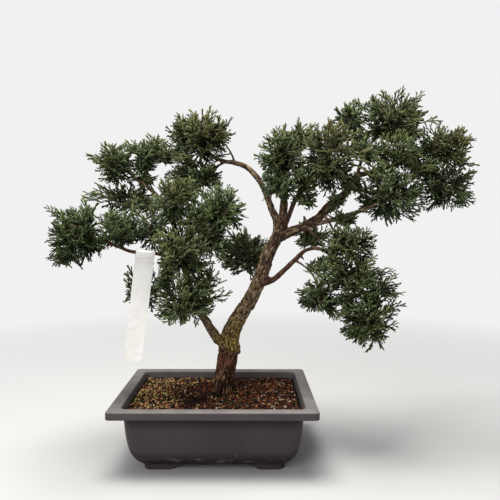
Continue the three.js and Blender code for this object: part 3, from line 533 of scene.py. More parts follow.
def extruded(bm: BMesh, edges: list[BMEdge]) -> tuple[list[BMVert], list[BMEdge]]:
    """Extrudes a line of edges in place.

    Args:
        bm: The mesh that it is in.
        edges: The line.

    Returns:
        The new line's points and edges.
    """
    grown = bmesh.ops.extrude_edge_only(bm, edges=edges)["geom"]
    verts = [item for item in grown if isinstance(item, BMVert)]
    fresh = set(verts)
    return verts, [item for item in grown if isinstance(item, BMEdge) and fresh.issuperset(item.verts)]


def put_in_order(bm: BMesh) -> None:
    """Sorts the faces by their points, because extruding leaves them in another order each run."""
    bm.verts.index_update()
    count = len(bm.verts)

    def rank(face: bmesh.types.BMFace) -> int:
        """One number from a face's three first points."""
        first, second, third = sorted(vert.index for vert in face.verts)[:3]
        return (first * count + second) * count + third

    bm.faces.sort(key=rank)


def add_tube(bm: BMesh, path: Path, sides: int) -> None:
    """Adds a closed tube of changing radius along a path.

    Args:
        bm: The mesh to add it to.
        path: The points that it follows, each with the radius there.
        sides: How many sides it has.
    """
    centres = [centre for centre, _ in path]
    runs = [(b - a).normalized() for a, b in zip(centres, centres[1:])]
    tangents = [runs[0], *[(a + b).normalized() for a, b in zip(runs, runs[1:])], runs[-1]]
    turn = turned_to(tangents[0])
    stand = Matrix.LocRotScale(centres[0], turn, Vector.Fill(3, path[0][1]))
    tube = bmesh.new()
    made = bmesh.ops.create_circle(tube, cap_ends=True, segments=sides, radius=1, matrix=stand)
    first_face = made["verts"][0].link_faces[0]
    first_face.normal_flip()
    edges = list(first_face.edges)
    for index in range(1, len(path)):
        turn = tangents[index - 1].rotation_difference(tangents[index]) @ turn
        following = Matrix.LocRotScale(centres[index], turn, Vector.Fill(3, path[index][1]))
        ring, edges = extruded(tube, edges)
        bmesh.ops.transform(tube, matrix=following @ stand.inverted(), verts=ring)
        stand = following
    bmesh.ops.edgeloop_fill(tube, edges=edges)
    bmesh.ops.recalc_face_normals(tube, faces=tube.faces)
    put_in_order(tube)
    pour(bm, tube)


def add_copy(bm: BMesh, kind: Mesh, matrix: Matrix, layer: str, tone: Colour) -> None:
    """Adds a copy of a small shape, with a colour of its own.

    Args:
        bm: The mesh to add it to.
        kind: The shape.
        matrix: Where the copy goes.
        layer: The attribute that holds its colour.
        tone: Its colour.
    """
    copied = bmesh.new()
    copied.from_mesh(kind)
    bmesh.ops.transform(copied, matrix=matrix, verts=copied.verts)
    paint = copied.verts.layers.float_color[layer]
    for vert in copied.verts:
        vert[paint] = tone
    pour(bm, copied)


def smooth_all(bm: BMesh) -> None:
    """Shades every face smooth."""
    for face in bm.faces:
        face.smooth = True


def smooth_up_to(bm: BMesh, degrees: float) -> None:
    """Shades a mesh smooth, with its edges sharp past an angle."""
    smooth_all(bm)
    for edge in bm.edges:
        edge.smooth = edge.calc_face_angle(math.pi) < math.radians(degrees)


def vectors_of(items: bpy.types.bpy_prop_collection, field: str) -> np.ndarray:
    """Reads a vector of each item, one to a row."""
    values = np.zeros(len(items) * 3, np.float32)
    items.foreach_get(field, values)
    return values.reshape(-1, 3).astype(float)


def store(mesh: Mesh, name: str, kind: str, field: str, values: np.ndarray) -> None:
    """Stores a value for each point of a mesh as an attribute.

    Args:
        mesh: The mesh.
        name: What the attribute is called.
        kind: Its type.
        field: The name that the type has for its value.
        values: One value or row for each point.
    """
    layer = mesh.attributes.new(name, kind, "POINT")
    layer.data.foreach_set(field, values.astype(np.float32).ravel())


class NodeSheet:
    """A material with short calls for the nodes that the finishes use."""

    def __init__(self, name: str) -> None:
        """Starts a material with its shader."""
        self.material = bpy.data.materials.new(name)
        self.material.use_nodes = True
        self.nodes = self.material.node_tree.nodes
        self.links = self.material.node_tree.links
        self.surface = self.nodes["Principled BSDF"]

    def feed(self, socket: Socket, value: object) -> None:
        """Links a socket to another node's output, or sets its value."""
        if isinstance(value, Socket):
            self.links.new(value, socket)
        else:
            socket.default_value = value

    def add(self, kind: str, inputs: dict | None = None, **settings: object) -> bpy.types.Node:
        """Adds a node.

        Args:
            kind: The node's type.
            inputs: What goes into its sockets, by name or number.
            settings: Its own settings.

        Returns:
            The node.
        """
        node = self.nodes.new(kind)
        for key, value in settings.items():
            setattr(node, key, value)
        for key, value in (inputs or {}).items():
            self.feed(node.inputs[key], value)
        return node

    def place(self, stretch: Point = (1, 1, 1)) -> Socket:
        """Where a point is on the object, in metres, with each axis stretched for a pattern."""
        spot = self.add("ShaderNodeTexCoord").outputs["Object"]
        return self.add("ShaderNodeMapping", {"Vector": spot, "Scale": stretch}).outputs["Vector"]

    def upward(self, vector: object) -> Socket:
        """The Z part of a vector."""
        return self.add("ShaderNodeSeparateXYZ", {0: vector}).outputs["Z"]

    def attribute(self, name: str, output: str = "Color") -> Socket:
        """Reads an attribute of the mesh."""
        return self.add("ShaderNodeAttribute", attribute_name=name).outputs[output]

    def noise(self, place: object, scale: float, detail: float = 3, rough: float = 0.55) -> Socket:
        """A cloudy pattern.

        Args:
            place: The coordinates that it is drawn on.
            scale: How many blotches there are to a unit.
            detail: How many finer layers it has.
            rough: How strong the finer layers are.

        Returns:
            The pattern, from 0 to 1.
        """
        inputs = {"Vector": place, "Scale": scale, "Detail": detail, "Roughness": rough}
        return self.add("ShaderNodeTexNoise", inputs).outputs["Fac"]

    def fit(self, value: object, low: float, high: float, start: float = 0, stop: float = 1) -> Socket:
        """Spreads a range of values over another, and clamps it there.

        Args:
            value: The value.
            low: What becomes start.
            high: What becomes stop.
            start: The result at low.
            stop: The result at high.

        Returns:
            The spread value.
        """
        inputs = {"Value": value, "From Min": low, "From Max": high, "To Min": start, "To Max": stop}
        return self.add("ShaderNodeMapRange", inputs).outputs["Result"]

    def maths(self, kind: str, first: object, second: object = 0.0) -> Socket:
        """Adds or compares two values, or what else kind says."""
        return self.add("ShaderNodeMath", {0: first, 1: second}, operation=kind).outputs["Value"]

    def times(self, first: object, second: object) -> Socket:
        """One value times another."""
        return self.maths("MULTIPLY", first, second)

    def larger(self, first: object, second: object) -> Socket:
        """The larger of two values."""
        return self.maths("MAXIMUM", first, second)

    def gap(self, first: object, second: object) -> Socket:
        """How far apart two values are."""
        return self.maths("ABSOLUTE", self.maths("SUBTRACT", first, second))

    def mix(self, share: object, first: object, second: object, blend: str = "MIX") -> Socket:
        """Mixes two colours.

        Args:
            share: How much of the second there is.
            first: The colour at 0.
            second: The colour at 1.
            blend: How the second is laid over the first.

        Returns:
            The mixed colour.
        """
        inputs = {0: share, 6: first, 7: second}
        return self.add("ShaderNodeMix", inputs, data_type="RGBA", blend_type=blend).outputs[2]

    def bump(self, height: object, distance: float, strength: float, under: object = None) -> Socket:
        """Raises a fine relief.

        Args:
            height: The pattern that is raised.
            distance: How high, in metres.
            strength: How much of it shows.
            under: Another relief that it lies on.

        Returns:
            The bent normal.
        """
        inputs = {"Height": height, "Distance": distance, "Strength": strength}
        if under is not None:
            inputs["Normal"] = under
        return self.add("ShaderNodeBump", inputs).outputs["Normal"]

    def finish(self, colour: object, roughness: object, normal: object, specular: float) -> Material:
        """Feeds the shader.

        Args:
            colour: The surface's colour.
            roughness: How matt it is.
            normal: Its relief, or None.
            specular: How strongly it mirrors.

        Returns:
            The finished material.
        """
        self.feed(self.surface.inputs["Base Color"], colour)
        self.feed(self.surface.inputs["Roughness"], roughness)
        if normal is not None:
            self.feed(self.surface.inputs["Normal"], normal)
        self.surface.inputs["Specular IOR Level"].default_value = specular
        return self.material


@dataclass(frozen=True)
class PotPlastic:
    """Moulded grey-brown plastic, matt, with pale scuffs near the foot. Upward faces are dusted and
    carry a painted highlight, the lip and rim a faint painted highlight, and the wall painted shadow
    under the lip and low on the belly.

    Heights and widths are in metres: the lip's lower edge, how far below it the painted shadow begins
    and where it is darkest, where the belly's painted shadow ends and is darkest, and where the foot
    meets it.
    """

    body: Colour = from_srgb(65, 58, 60)
    patch: Colour = from_srgb(58, 51, 53)
    # The dusting's colour, also laid on as the painted highlight on upward faces and on the lip and rim.
    dust_and_highlight: Colour = from_srgb(160, 156, 149)
    scuff: Colour = from_srgb(150, 146, 142)
    scuff_height: float = 0.0125
    scuff_reach: float = 0.0055
    # The colour of the painted shadow under the lip and low on the belly.
    painted_shadow: Colour = from_srgb(9, 7, 8)
    lip_height: float = 0.0617
    lip_shadow_span: tuple[float, float] = (0.016, 0.001)
    belly_shadow_span: tuple[float, float] = (0.025, 0.011)
    foot_top: tuple[float, float] = (0.006, 0.007)
    roughness: float = 0.5

    def material(self) -> Material:
        """Makes the finish."""
        sheet = NodeSheet("pot_plastic")
        place = sheet.place()
        height = sheet.upward(place)
        facing_up = sheet.upward(sheet.add("ShaderNodeNewGeometry").outputs["Normal"])
        colour = sheet.mix(sheet.fit(sheet.noise(place, 26), 0.35, 0.7), self.body, self.patch)
        # Dusting and painted highlight: upward faces are lightened as if lit from above, and everything
        # from the lip up a little.
        level = sheet.fit(facing_up, 0.7, 1.0, 0.0, 0.5)
        lip_highlight = sheet.fit(height, self.lip_height, self.lip_height + 0.0004, 0.0, 0.05)
        clouds = sheet.fit(sheet.noise(place, 60, 5), 0.25, 0.75, 0.6, 1.1)
        colour = sheet.mix(sheet.times(sheet.larger(level, lip_highlight), clouds), colour, self.dust_and_highlight)
        # Painted shadow: the wall darkens under the lip and low on the belly above the foot, where the rim
        # and the belly's curve shade it.
        far, close = self.lip_shadow_span
        shadow_under_lip = sheet.fit(height, self.lip_height - far, self.lip_height - close, 0, 0.95)
        below_lip = sheet.fit(height, self.lip_height, self.lip_height + 0.0003, 1, 0)
        low = sheet.fit(height, *self.belly_shadow_span, 0, 0.85)
        above_foot = sheet.fit(height, *self.foot_top)
        shadow_share = sheet.larger(sheet.times(shadow_under_lip, below_lip), sheet.times(low, above_foot))
        colour = sheet.mix(shadow_share, colour, self.painted_shadow)
        near_foot = sheet.fit(sheet.gap(height, self.scuff_height), 0, self.scuff_reach, 1, 0)
        streaks = sheet.fit(sheet.noise(sheet.place((26, 26, 110)), 3.2, 6, 0.7), 0.53, 0.68, 0, 0.5)
        colour = sheet.mix(sheet.times(near_foot, streaks), colour, self.scuff)
        specks = sheet.fit(sheet.noise(sheet.place((1, 1, 0.4)), 190, 2), 0.735, 0.8, 0, 0.5)
        colour = sheet.mix(specks, colour, self.scuff)
        rough = sheet.fit(sheet.noise(place, 90, 4), 0.3, 0.7, self.roughness - 0.07, self.roughness + 0.1)
        return sheet.finish(colour, rough, sheet.bump(sheet.noise(place, 1500, 2), 0.00012, 0.5), 0.18)


@dataclass(frozen=True)
class Grit:
    """Crushed lava, pumice and clay stones, each with its own colour, dry and porous, with painted
    shade in their pores and on the near-black bed between them.
    """

    # Near black: painted shade in the stones' pores and on the bed in the gaps between them.
    pore_and_gap_shade: Colour = from_srgb(9, 5, 4)
    roughness: float = 0.85

    def material(self, name: str, colour_from: str | None) -> Material:
        """Makes the finish.

        Args:
            name: The material's name.
            colour_from: The attribute with the stones' colours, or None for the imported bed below.

        Returns:
            The material.
        """
        sheet = NodeSheet(name)
        place = sheet.place()
        if colour_from:
            colour = sheet.attribute(colour_from)
        else:
            # The bed between the stones is painted near black, as the shade in the gaps.
            blotch = sheet.fit(sheet.noise(place, 300, 3), 0.35, 0.65)
            colour = sheet.mix(blotch, self.pore_and_gap_shade, GritTone.DARK.value)
        # Painted shade: near-black spots where the stones' pores lie in shade.
        pores = sheet.fit(sheet.noise(place, 1400, 4, 0.7), 0.3, 0.5, 0.8, 0)
        colour = sheet.mix(pores, colour, self.pore_and_gap_shade)
        relief = sheet.bump(sheet.noise(place, 1700, 3), 0.0003, 0.8)
        return sheet.finish(colour, self.roughness, relief, 0.2)


@dataclass(frozen=True)
class Bark:
    """Flaking juniper bark: tan and brown flakes over dark cracks, red-brown where it is young or low.

    The foot's darker bark ends at foot_height, in metres. The worn bark of the trunk begins and ends
    between the two heights in worn_from and in worn_to.
    """

    tan: Colour = from_srgb(200, 174, 138)
    brown: Colour = from_srgb(74, 54, 40)
    crack: Colour = from_srgb(18, 12, 9)
    foot: Colour = from_srgb(50, 31, 24)
    foot_pale: Colour = from_srgb(158, 118, 84)
    foot_red: Colour = from_srgb(120, 72, 60)
    red: Colour = from_srgb(80, 47, 39)
    worn: Colour = from_srgb(176, 154, 118)
    lichen: Colour = from_srgb(226, 196, 96)
    foot_height: float = 0.106
    worn_from: tuple[float, float] = (0.12, 0.14)
    worn_to: tuple[float, float] = (0.212, 0.175)
    roughness: float = 0.86

    def material(self) -> Material:
        """Makes the finish, from the bark's state (crack, lichen, redness) and its flow along the limb."""
        sheet = NodeSheet("juniper_bark")
        flow = sheet.attribute("bark_flow", "Vector")
        along = sheet.add("ShaderNodeMapping", {"Vector": flow, "Scale": (1, 1, 0.3)}).outputs["Vector"]
        fibre = sheet.noise(along, 0.5, 4, 0.7)
        fine = sheet.noise(along, 1.5, 4, 0.65)
        state = sheet.add("ShaderNodeSeparateColor", {"Color": sheet.attribute("bark_state")}).outputs
        crack, lichen, redness = state["Red"], state["Green"], state["Blue"]
        flake = sheet.attribute("bark_flake", "Fac")
        height = sheet.upward(sheet.place())
        plates = sheet.mix(sheet.fit(fibre, 0.46, 0.63), self.brown, self.tan)
        plates = sheet.mix(sheet.fit(flake, 0.3, 0.9, 0, 0.75), plates, self.brown)
        plates = sheet.mix(redness, plates, self.red)
        bare = sheet.maths("MINIMUM", sheet.fit(height, *self.worn_from), sheet.fit(height, *self.worn_to))
        bare = sheet.times(bare, sheet.fit(fibre, 0.36, 0.56, 0.08, 0.7))
        bare = sheet.times(bare, sheet.fit(redness, 0.15, 0.5, 1, 0))
        plates = sheet.mix(bare, plates, self.worn)
        foot = sheet.mix(sheet.fit(fibre, 0.48, 0.6), self.foot, self.foot_pale)
        reddish = sheet.fit(height, self.foot_height - 0.016, self.foot_height - 0.01, 0, 0.7)
        foot = sheet.mix(reddish, foot, self.foot_red)
        low = sheet.fit(height, self.foot_height - 0.006, self.foot_height + 0.012, 0.94, 0)
        plates = sheet.mix(low, plates, foot)
        patches = sheet.fit(sheet.noise(flow, 0.6, 4, 0.75), 0.47, 0.55)
        plates = sheet.mix(sheet.times(lichen, patches), plates, self.lichen)
        plates = sheet.mix(sheet.fit(fine, 0.5, 0.36, 0, 0.95), plates, self.crack)
        colour = sheet.mix(crack, plates, self.crack)
        relief = sheet.bump(fine, 0.0008, 0.8, sheet.bump(fibre, 0.0014, 0.7))
        return sheet.finish(colour, self.roughness, relief, 0.15)


@dataclass(frozen=True)
class ScaleLeaf:
    """Cords of tiny overlapping scale leaves, brown at the root, with painted shade that makes them darker
    towards the root and paler towards the tip.
    """

    root: Colour = from_srgb(62, 50, 36)
    roughness: float = 0.58

    def material(self) -> Material:
        """Makes the finish, from each shoot's tone and how far along it a point is."""
        sheet = NodeSheet("scale_leaf")
        along = sheet.attribute("leaf_along", "Fac")
        place = sheet.place()
        brown = sheet.fit(along, 0.22, 0, 0, 0.75)
        colour = sheet.mix(brown, sheet.attribute("leaf_tone"), self.root)
        scales = sheet.fit(sheet.noise(place, 900, 2), 0.3, 0.7, 0.72, 1.25)
        # Painted shade: each cord darkens towards its root, as if shaded deep in the spray, and lightens
        # towards its tip.
        shade = sheet.times(sheet.fit(along, 0.1, 1, 0.74, 1.1), scales)
        grey = sheet.add("ShaderNodeCombineColor", {"Red": shade, "Green": shade, "Blue": shade})
        colour = sheet.mix(1.0, colour, grey.outputs["Color"], "MULTIPLY")
        relief = sheet.bump(sheet.noise(place, 1600, 2), 0.0003, 0.5)
        return sheet.finish(colour, self.roughness, relief, 0.12)


@dataclass(frozen=True)
class LabelPlastic:
    """Thin white nursery plastic, blank, slightly soiled towards its lower end, with a band of painted
    shadow below the fold.

    The painted shadow's height, its half width and the heights that the soiling runs between are in
    metres.
    """

    white: Colour = from_srgb(245, 243, 238)
    # The soiling's colour, also laid on as the painted shadow below the fold.
    soil: Colour = from_srgb(196, 184, 172)
    fold_shadow: float = 0.2145
    fold_shadow_width: float = 0.0022
    soiled: tuple[float, float] = (0.215, 0.11)
    roughness: float = 0.42

    def material(self) -> Material:
        """Makes the finish."""
        sheet = NodeSheet("label_plastic")
        place = sheet.place()
        height = sheet.upward(place)
        # Painted shadow: a band below the fold, where the strip's loop shades it.
        fold_shadow = sheet.fit(sheet.gap(height, self.fold_shadow), 0, self.fold_shadow_width, 0.5, 0)
        low = sheet.larger(sheet.fit(height, *self.soiled, 0.05, 0.3), fold_shadow)
        smudges = sheet.larger(sheet.fit(sheet.noise(place, 120, 5, 0.65), 0.45, 0.75), fold_shadow)
        colour = sheet.mix(sheet.times(low, smudges), self.white, self.soil)
        waves = sheet.bump(sheet.noise(place, 75, 2), 0.002, 0.5)
        relief = sheet.bump(sheet.noise(place, 350, 3), 0.0002, 0.35, waves)
        return sheet.finish(colour, self.roughness, relief, 0.5)


@dataclass(frozen=True)
class Twig:
    """Thin bark of a twig, in two browns."""

    name: str
    dark: Colour
    pale: Colour
    roughness: float
    blotch: float
    dark_to_pale: tuple[float, float]
    grain: float
    relief: float

    def material(self) -> Material:
        """Makes the finish."""
        sheet = NodeSheet(self.name)
        place = sheet.place()
        share = sheet.fit(sheet.noise(place, self.blotch, 4), *self.dark_to_pale)
        colour = sheet.mix(share, self.dark, self.pale)
        relief = sheet.bump(sheet.noise(place, self.grain, 3), 0.0003, self.relief)
        return sheet.finish(colour, self.roughness, relief, 0.3)


DEAD_TWIG = Twig(
    "dead_twig", from_srgb(84, 60, 46), from_srgb(150, 116, 90), 0.8, 260, (0.35, 0.65), 900, 0.5
)
FINE_TWIG = Twig(
    "fine_twig", from_srgb(70, 52, 40), from_srgb(112, 90, 72), 0.7, 200, (0.45, 0.7), 1100, 0.4
)


class Bench:
    """Turns finished meshes into pieces of the model.

    Attributes:
        to_row: Takes millimetres from the middle of the pot to the model's own frame.
    """

    def __init__(self) -> None:
        """Finds where the pot stands."""
        low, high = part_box("pot")
        middle = (low + high) / 2
        self.to_row = Matrix.Translation((middle.x, middle.y, low.z)) @ Matrix.Scale(MM, 4)

    def piece(
        self, name: str, mesh: Mesh, finish: Material, slot: Slot, replaces: Iterable[str] = ()
    ) -> None:
        """Places a mesh in the model as one piece.

        Args:
            name: The piece's name.
            mesh: Its mesh, in millimetres from the middle of the pot.
            finish: Its material.
            slot: The record's slot for its finish; not used.
            replaces: The CAD nodes that it stands for.
        """
        mesh.transform(self.to_row)
        mesh.name = name
        mesh.materials.clear()
        mesh.materials.append(finish)
        piece = bpy.data.objects.new(name, mesh)
        bpy.context.scene.collection.objects.link(piece)
        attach(piece, "root")
        if replaces:
            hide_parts(*replaces)
        LOG.info("%s: %d triangles", name, sum(len(face.vertices) - 2 for face in mesh.polygons))


@dataclass
class TrainingPot:
    """The moulded plastic pot, with its rim, lip and four feet."""

    length: float = 206
    width: float = 156
    height: float = 69
    wall: float = 2
    lip_height: float = 7.3
    lip_overhang: float = 12.7
    foot_length: float = 145
    foot_height: float = 6.4
    foot_wall: float = 4
    foot_pad_x: float = 27
    foot_pad_y: float = 19
    arch_height: float = 5.6
    arch_run: float = 21
    floor: float = 3
    edge: float = 0.9
    corner_segments: int = 8
    side_cuts: int = 44

    @property
    def depth_less(self) -> float:
        """How much less the pot reaches along y than along x."""
        return (self.length - self.width) / 2

    def loop(self, bm: BMesh, out: float, height: float, corner: float, cuts: int = 0) -> list[BMEdge]:
        """Adds a level rectangle with round corners.

        Args:
            bm: The mesh to add it to.
            out: How far it reaches along x.
            height: How high it lies.
            corner: The radius of its corners.
            cuts: How many points are added along each straight side.

        Returns:
            Its edges.
        """
        grid = bmesh.ops.create_grid(bm, x_segments=1, y_segments=1, size=1)["verts"]
        bmesh.ops.scale(bm, vec=(out, out - self.depth_less, 1), verts=grid)
        bmesh.ops.translate(bm, vec=(0, 0, height), verts=grid)
        rounded = bmesh.ops.bevel(
            bm,
            geom=grid,
            offset=corner,
            offset_type="OFFSET",
            segments=self.corner_segments,
            profile=0.5,
            affect="VERTICES",
            material=-1,
        )
        face = rounded["verts"][0].link_faces[0]
        edges = list(face.edges)
        bmesh.ops.delete(bm, geom=[face], context="FACES_ONLY")
        if cuts:
            straight = [edge for edge in edges if edge.calc_length() > 2 * corner]
            bmesh.ops.subdivide_edges(bm, edges=straight, cuts=cuts)
            edges = list({edge for vert in self.ring_from(edges[0].verts[0]) for edge in vert.link_edges})
        return edges

    def ring_from(self, vert: BMVert) -> set[BMVert]:
        """All the points of the closed line that a point is on."""
        ring, found = set(), [vert]
        while found:
            here = found.pop()
            ring.add(here)
            beside = [edge.other_vert(here) for edge in here.link_edges]
            found += [vert for vert in beside if vert not in ring]
        return ring

    def outline(self) -> list[Vector]:
        """The pot's section: out, height and corner radius, from the underside over the rim and in."""
        rim = self.length / 2
        body_top = rim - self.lip_overhang
        under_rim = self.height - self.wall
        lip_foot = self.height - self.lip_height
        edge = self.edge
        belly = [
            (74.6, self.foot_height + 0.2, 9),
            (76.2, self.foot_height + 1.1, 9.4),
            (78.4, 9.6, 10),
            (82, 14.4, 11),
            (85, 21, 11),
            (87.6, 34, 10),
            (body_top, under_rim - 1, 9),
        ]
        lip = [
            (body_top + 1, under_rim, 8),
            (rim - self.wall, under_rim, 3),
            (rim - self.wall, lip_foot + 0.4, 3),
            (rim - self.wall + 0.4, lip_foot, 3.2),
            (rim - 0.4, lip_foot, 3.8),
            (rim, lip_foot + 0.4, 4),
            (rim, self.height - edge, 4),
            (rim - edge * 0.3, self.height - edge * 0.3, 3.8),
            (rim - edge, self.height, 3.4),
            (body_top + 1.6, self.height, 6),
            (body_top + 0.6, self.height - 0.4, 6),
            (body_top - 0.2, self.height - 1.4, 6),
        ]
        inside = [
            (body_top - self.wall - 0.4, 58, 7),
            (87.6 - self.wall, 34, 8),
            (85 - self.wall, 22, 9),
            (82 - self.wall, 15.6, 9),
            (76.2, 11.4, 8),
            (72.4, self.foot_height + self.floor, 7),
        ]
        smooth_belly = curve_through([Vector(stop) for stop in belly], 3)
        return [*smooth_belly, *[Vector(stop) for stop in lip + inside]]

    def arch(self, along: float, half: float) -> float:
        """How high the foot's underside stands, from the distance along a side to its middle."""
        into = min(1.0, max(0.0, (half - abs(along)) / self.arch_run))
        return self.arch_height * (1 - (1 - into) ** 2.8)

    def add_feet(self, bm: BMesh) -> None:
        """Adds the ring under the pot, with an arch cut in each side."""
        half_x = self.foot_length / 2
        half_y = half_x - self.depth_less
        before = set(bm.verts)
        top = self.foot_height + 0.5
        inner = half_x - self.foot_wall
        stops = [(half_x, 0, 9), (half_x, top, 9), (inner, top, 6), (inner, 0, 6)]
        loops = [self.loop(bm, out, height, corner, self.side_cuts) for out, height, corner in stops]
        for index, loop in enumerate(loops):
            bmesh.ops.bridge_loops(bm, edges=loop + loops[(index + 1) % len(loops)])
        for vert in set(bm.verts) - before:
            if vert.co.z > 0.1:
                continue
            on_long_side = abs(vert.co.y) > half_y - self.foot_wall - 0.1
            if on_long_side:
                vert.co.z = self.arch(vert.co.x, half_x - self.foot_pad_x)
            else:
                vert.co.z = self.arch(vert.co.y, half_y - self.foot_pad_y)

    def build(self, bench: Bench) -> None:
        """Builds the pot and puts it in the model."""
        bm = bmesh.new()
        loops = [self.loop(bm, *stop) for stop in self.outline()]
        for loop, following in zip(loops, loops[1:]):
            bmesh.ops.bridge_loops(bm, edges=loop + following)
        bmesh.ops.edgeloop_fill(bm, edges=loops[0])
        bmesh.ops.edgeloop_fill(bm, edges=loops[-1])
        self.add_feet(bm)
        bmesh.ops.recalc_face_normals(bm, faces=bm.faces)
        smooth_up_to(bm, 32)
        bench.piece("training_pot", as_mesh(bm, "training_pot"), PotPlastic().material(), Slot.POT, ["pot"])


@dataclass
class Soil:
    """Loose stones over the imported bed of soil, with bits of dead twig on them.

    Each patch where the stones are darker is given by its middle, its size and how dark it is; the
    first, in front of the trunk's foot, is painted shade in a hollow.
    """

    half_x: float = 88
    half_y: float = 63
    pitch: float = 1.95
    kinds: int = 10
    smallest: float = 0.6
    largest: float = 1.6
    trunk_at: tuple[float, float] = (7, 15)
    trunk_clear: float = 11.6
    darkening: tuple[tuple[float, float, float, float], ...] = (
        (3, 2, 11, 1.0),
        (-21, -18, 15, 0.65),
        (-37, -11, 16, 0.45),
    )
    standing_twig: tuple[Point, ...] = ((-35.5, -2, 62), (-34, 8, 67.5), (-30, 20, 72))
    twig_count: int = 26
    twig_trunk_clear: float = 18
    unevenness: float = 1.1
    pale_share: float = 0.018
    seed: int = 3

    def stone_kinds(self, rng: random.Random) -> list[Mesh]:
        """Makes a few angular stones of unit size to copy."""
        kinds = []
        for index in range(self.kinds):
            bm = bmesh.new()
            bmesh.ops.create_icosphere(bm, subdivisions=1, radius=1)
            for vert in bm.verts:
                vert.co += random_vector(rng, 0.26)
            bm.verts.layers.float_color.new("stone")
            kinds.append(as_mesh(bm, f"stone_{index}"))
        return kinds

    def tone(self, rng: random.Random, x: float, y: float) -> Colour:
        """Picks a stone's colour from where it lies.

        Args:
            rng: The random source.
            x: Where it lies along the pot.
            y: Where it lies across the pot.

        Returns:
            Its colour.
        """
        golden = min(1.0, max(0.0, (-28 - x) / 30 + rng.uniform(-0.3, 0.3)))
        mossy = 0.35 if y > 40 and x < 0 else 0.04
        draw = rng.random()
        if draw < self.pale_share:
            tone = GritTone.PALE
        elif rng.random() < golden * 0.8:
            tone = rng.choice(GOLDEN_GRIT)
        elif rng.random() < mossy:
            tone = rng.choice([GritTone.OLIVE, GritTone.GOLD])
        else:
            tone = rng.choices(list(COMMON_GRIT), COMMON_GRIT.values())[0]
        # Stones darken in the listed patches; the first, in front of the trunk's foot, is painted shade in
        # a hollow.
        away = [math.hypot(x - patch[0], y - patch[1]) / patch[2] for patch in self.darkening]
        darkening = max(patch[3] * (1.3 - share) for patch, share in zip(self.darkening, away))
        dark = min(0.95, max(0.0, darkening) + rng.uniform(0, 0.6) * (1 - golden * 0.3))
        return blended(tone.value, GritTone.DARK.value, dark)

    def build(self, bench: Bench, bed: bpy.types.Object) -> None:
        """Strews the stones and twigs over the bed and puts them in the model.

        Args:
            bench: Where the pieces go.
            bed: The CAD soil.
        """
        rng = random.Random(self.seed)
        bed.data.materials.clear()
        bed.data.materials.append(Grit().material("soil_bed", None))
        surface = BVHTree.FromObject(bed, bpy.context.evaluated_depsgraph_get())
        to_mm = bench.to_row.inverted()

        def height_at(x: float, y: float) -> float | None:
            """The bed's height under a point, in millimetres, or None off the bed."""
            start = bench.to_row @ Vector((x, y, 90))
            hit = surface.ray_cast(start, Vector((0, 0, -1)))[0]
            return None if hit is None else (to_mm @ hit).z

        kinds = self.stone_kinds(rng)
        bm = bmesh.new()
        bm.verts.layers.float_color.new("stone")
        columns = round(2 * self.half_x / self.pitch)
        rows = round(2 * self.half_y / self.pitch)
        for column in range(columns + 1):
            for row in range(rows + 1):
                x = -self.half_x + column * self.pitch + rng.uniform(-self.unevenness, self.unevenness)
                y = -self.half_y + row * self.pitch + rng.uniform(-self.unevenness, self.unevenness)
                size = self.smallest + (self.largest - self.smallest) * rng.random() ** 1.8
                off_wall = abs(x) > self.half_x - size or abs(y) > self.half_y - size
                in_trunk = math.dist((x, y), self.trunk_at) < self.trunk_clear
                height = height_at(x, y)
                if off_wall or in_trunk or height is None:
                    continue
                shape = Vector(rng.uniform(0.7, 1.1) for _ in range(3)) * size
                turn = Quaternion(random_vector(rng, 1).normalized(), rng.uniform(0, math.tau))
                spot = Vector((x, y, height + size * rng.uniform(0.1, 0.75)))
                stand = Matrix.LocRotScale(spot, turn, shape)
                add_copy(bm, rng.choice(kinds), stand, "stone", self.tone(rng, x, y))
        bench.piece("grit_stones", as_mesh(bm, "grit"), Grit().material("grit_stone", "stone"), Slot.GRIT)
        self.strew_twigs(bench, rng, height_at)

    def strew_twigs(self, bench: Bench, rng: random.Random, height_at: HeightFinder) -> None:
        """Lays dead twigs on the stones.

        Args:
            bench: Where the piece goes.
            rng: The random source.
            height_at: Gives the bed's height under a point.
        """
        bm = bmesh.new()
        standing = [(Vector(spot), 0.75 - 0.12 * step) for step, spot in enumerate(self.standing_twig)]
        add_tube(bm, standing, 6)
        places: list[tuple[float, float, float, float]] = []
        while len(places) < self.twig_count:
            x = rng.uniform(-self.half_x + 10, self.half_x - 10)
            y = rng.uniform(-self.half_y + 8, self.half_y - 8)
            if math.dist((x, y), self.trunk_at) > self.twig_trunk_clear:
                places.append((x, y, rng.uniform(0, math.pi), rng.uniform(5, 12)))
        for x, y, angle, length in places:
            path = []
            for step in range(4):
                share = step / 3 - 0.5
                bend = 1.4 * math.sin(step * 2.1 + x)
                spot_x = x + math.cos(angle) * length * share - math.sin(angle) * bend
                spot_y = y + math.sin(angle) * length * share + math.cos(angle) * bend
                height = height_at(spot_x, spot_y)
                if height is not None:
                    path.append((Vector((spot_x, spot_y, height + 2.1)), 0.55 - 0.06 * step))
            if len(path) > 2:
                add_tube(bm, path, 5)
        bmesh.ops.recalc_face_normals(bm, faces=bm.faces)
        smooth_up_to(bm, 60)
        bench.piece("dead_twigs", as_mesh(bm, "dead_twigs"), DEAD_TWIG.material(), Slot.BARK)


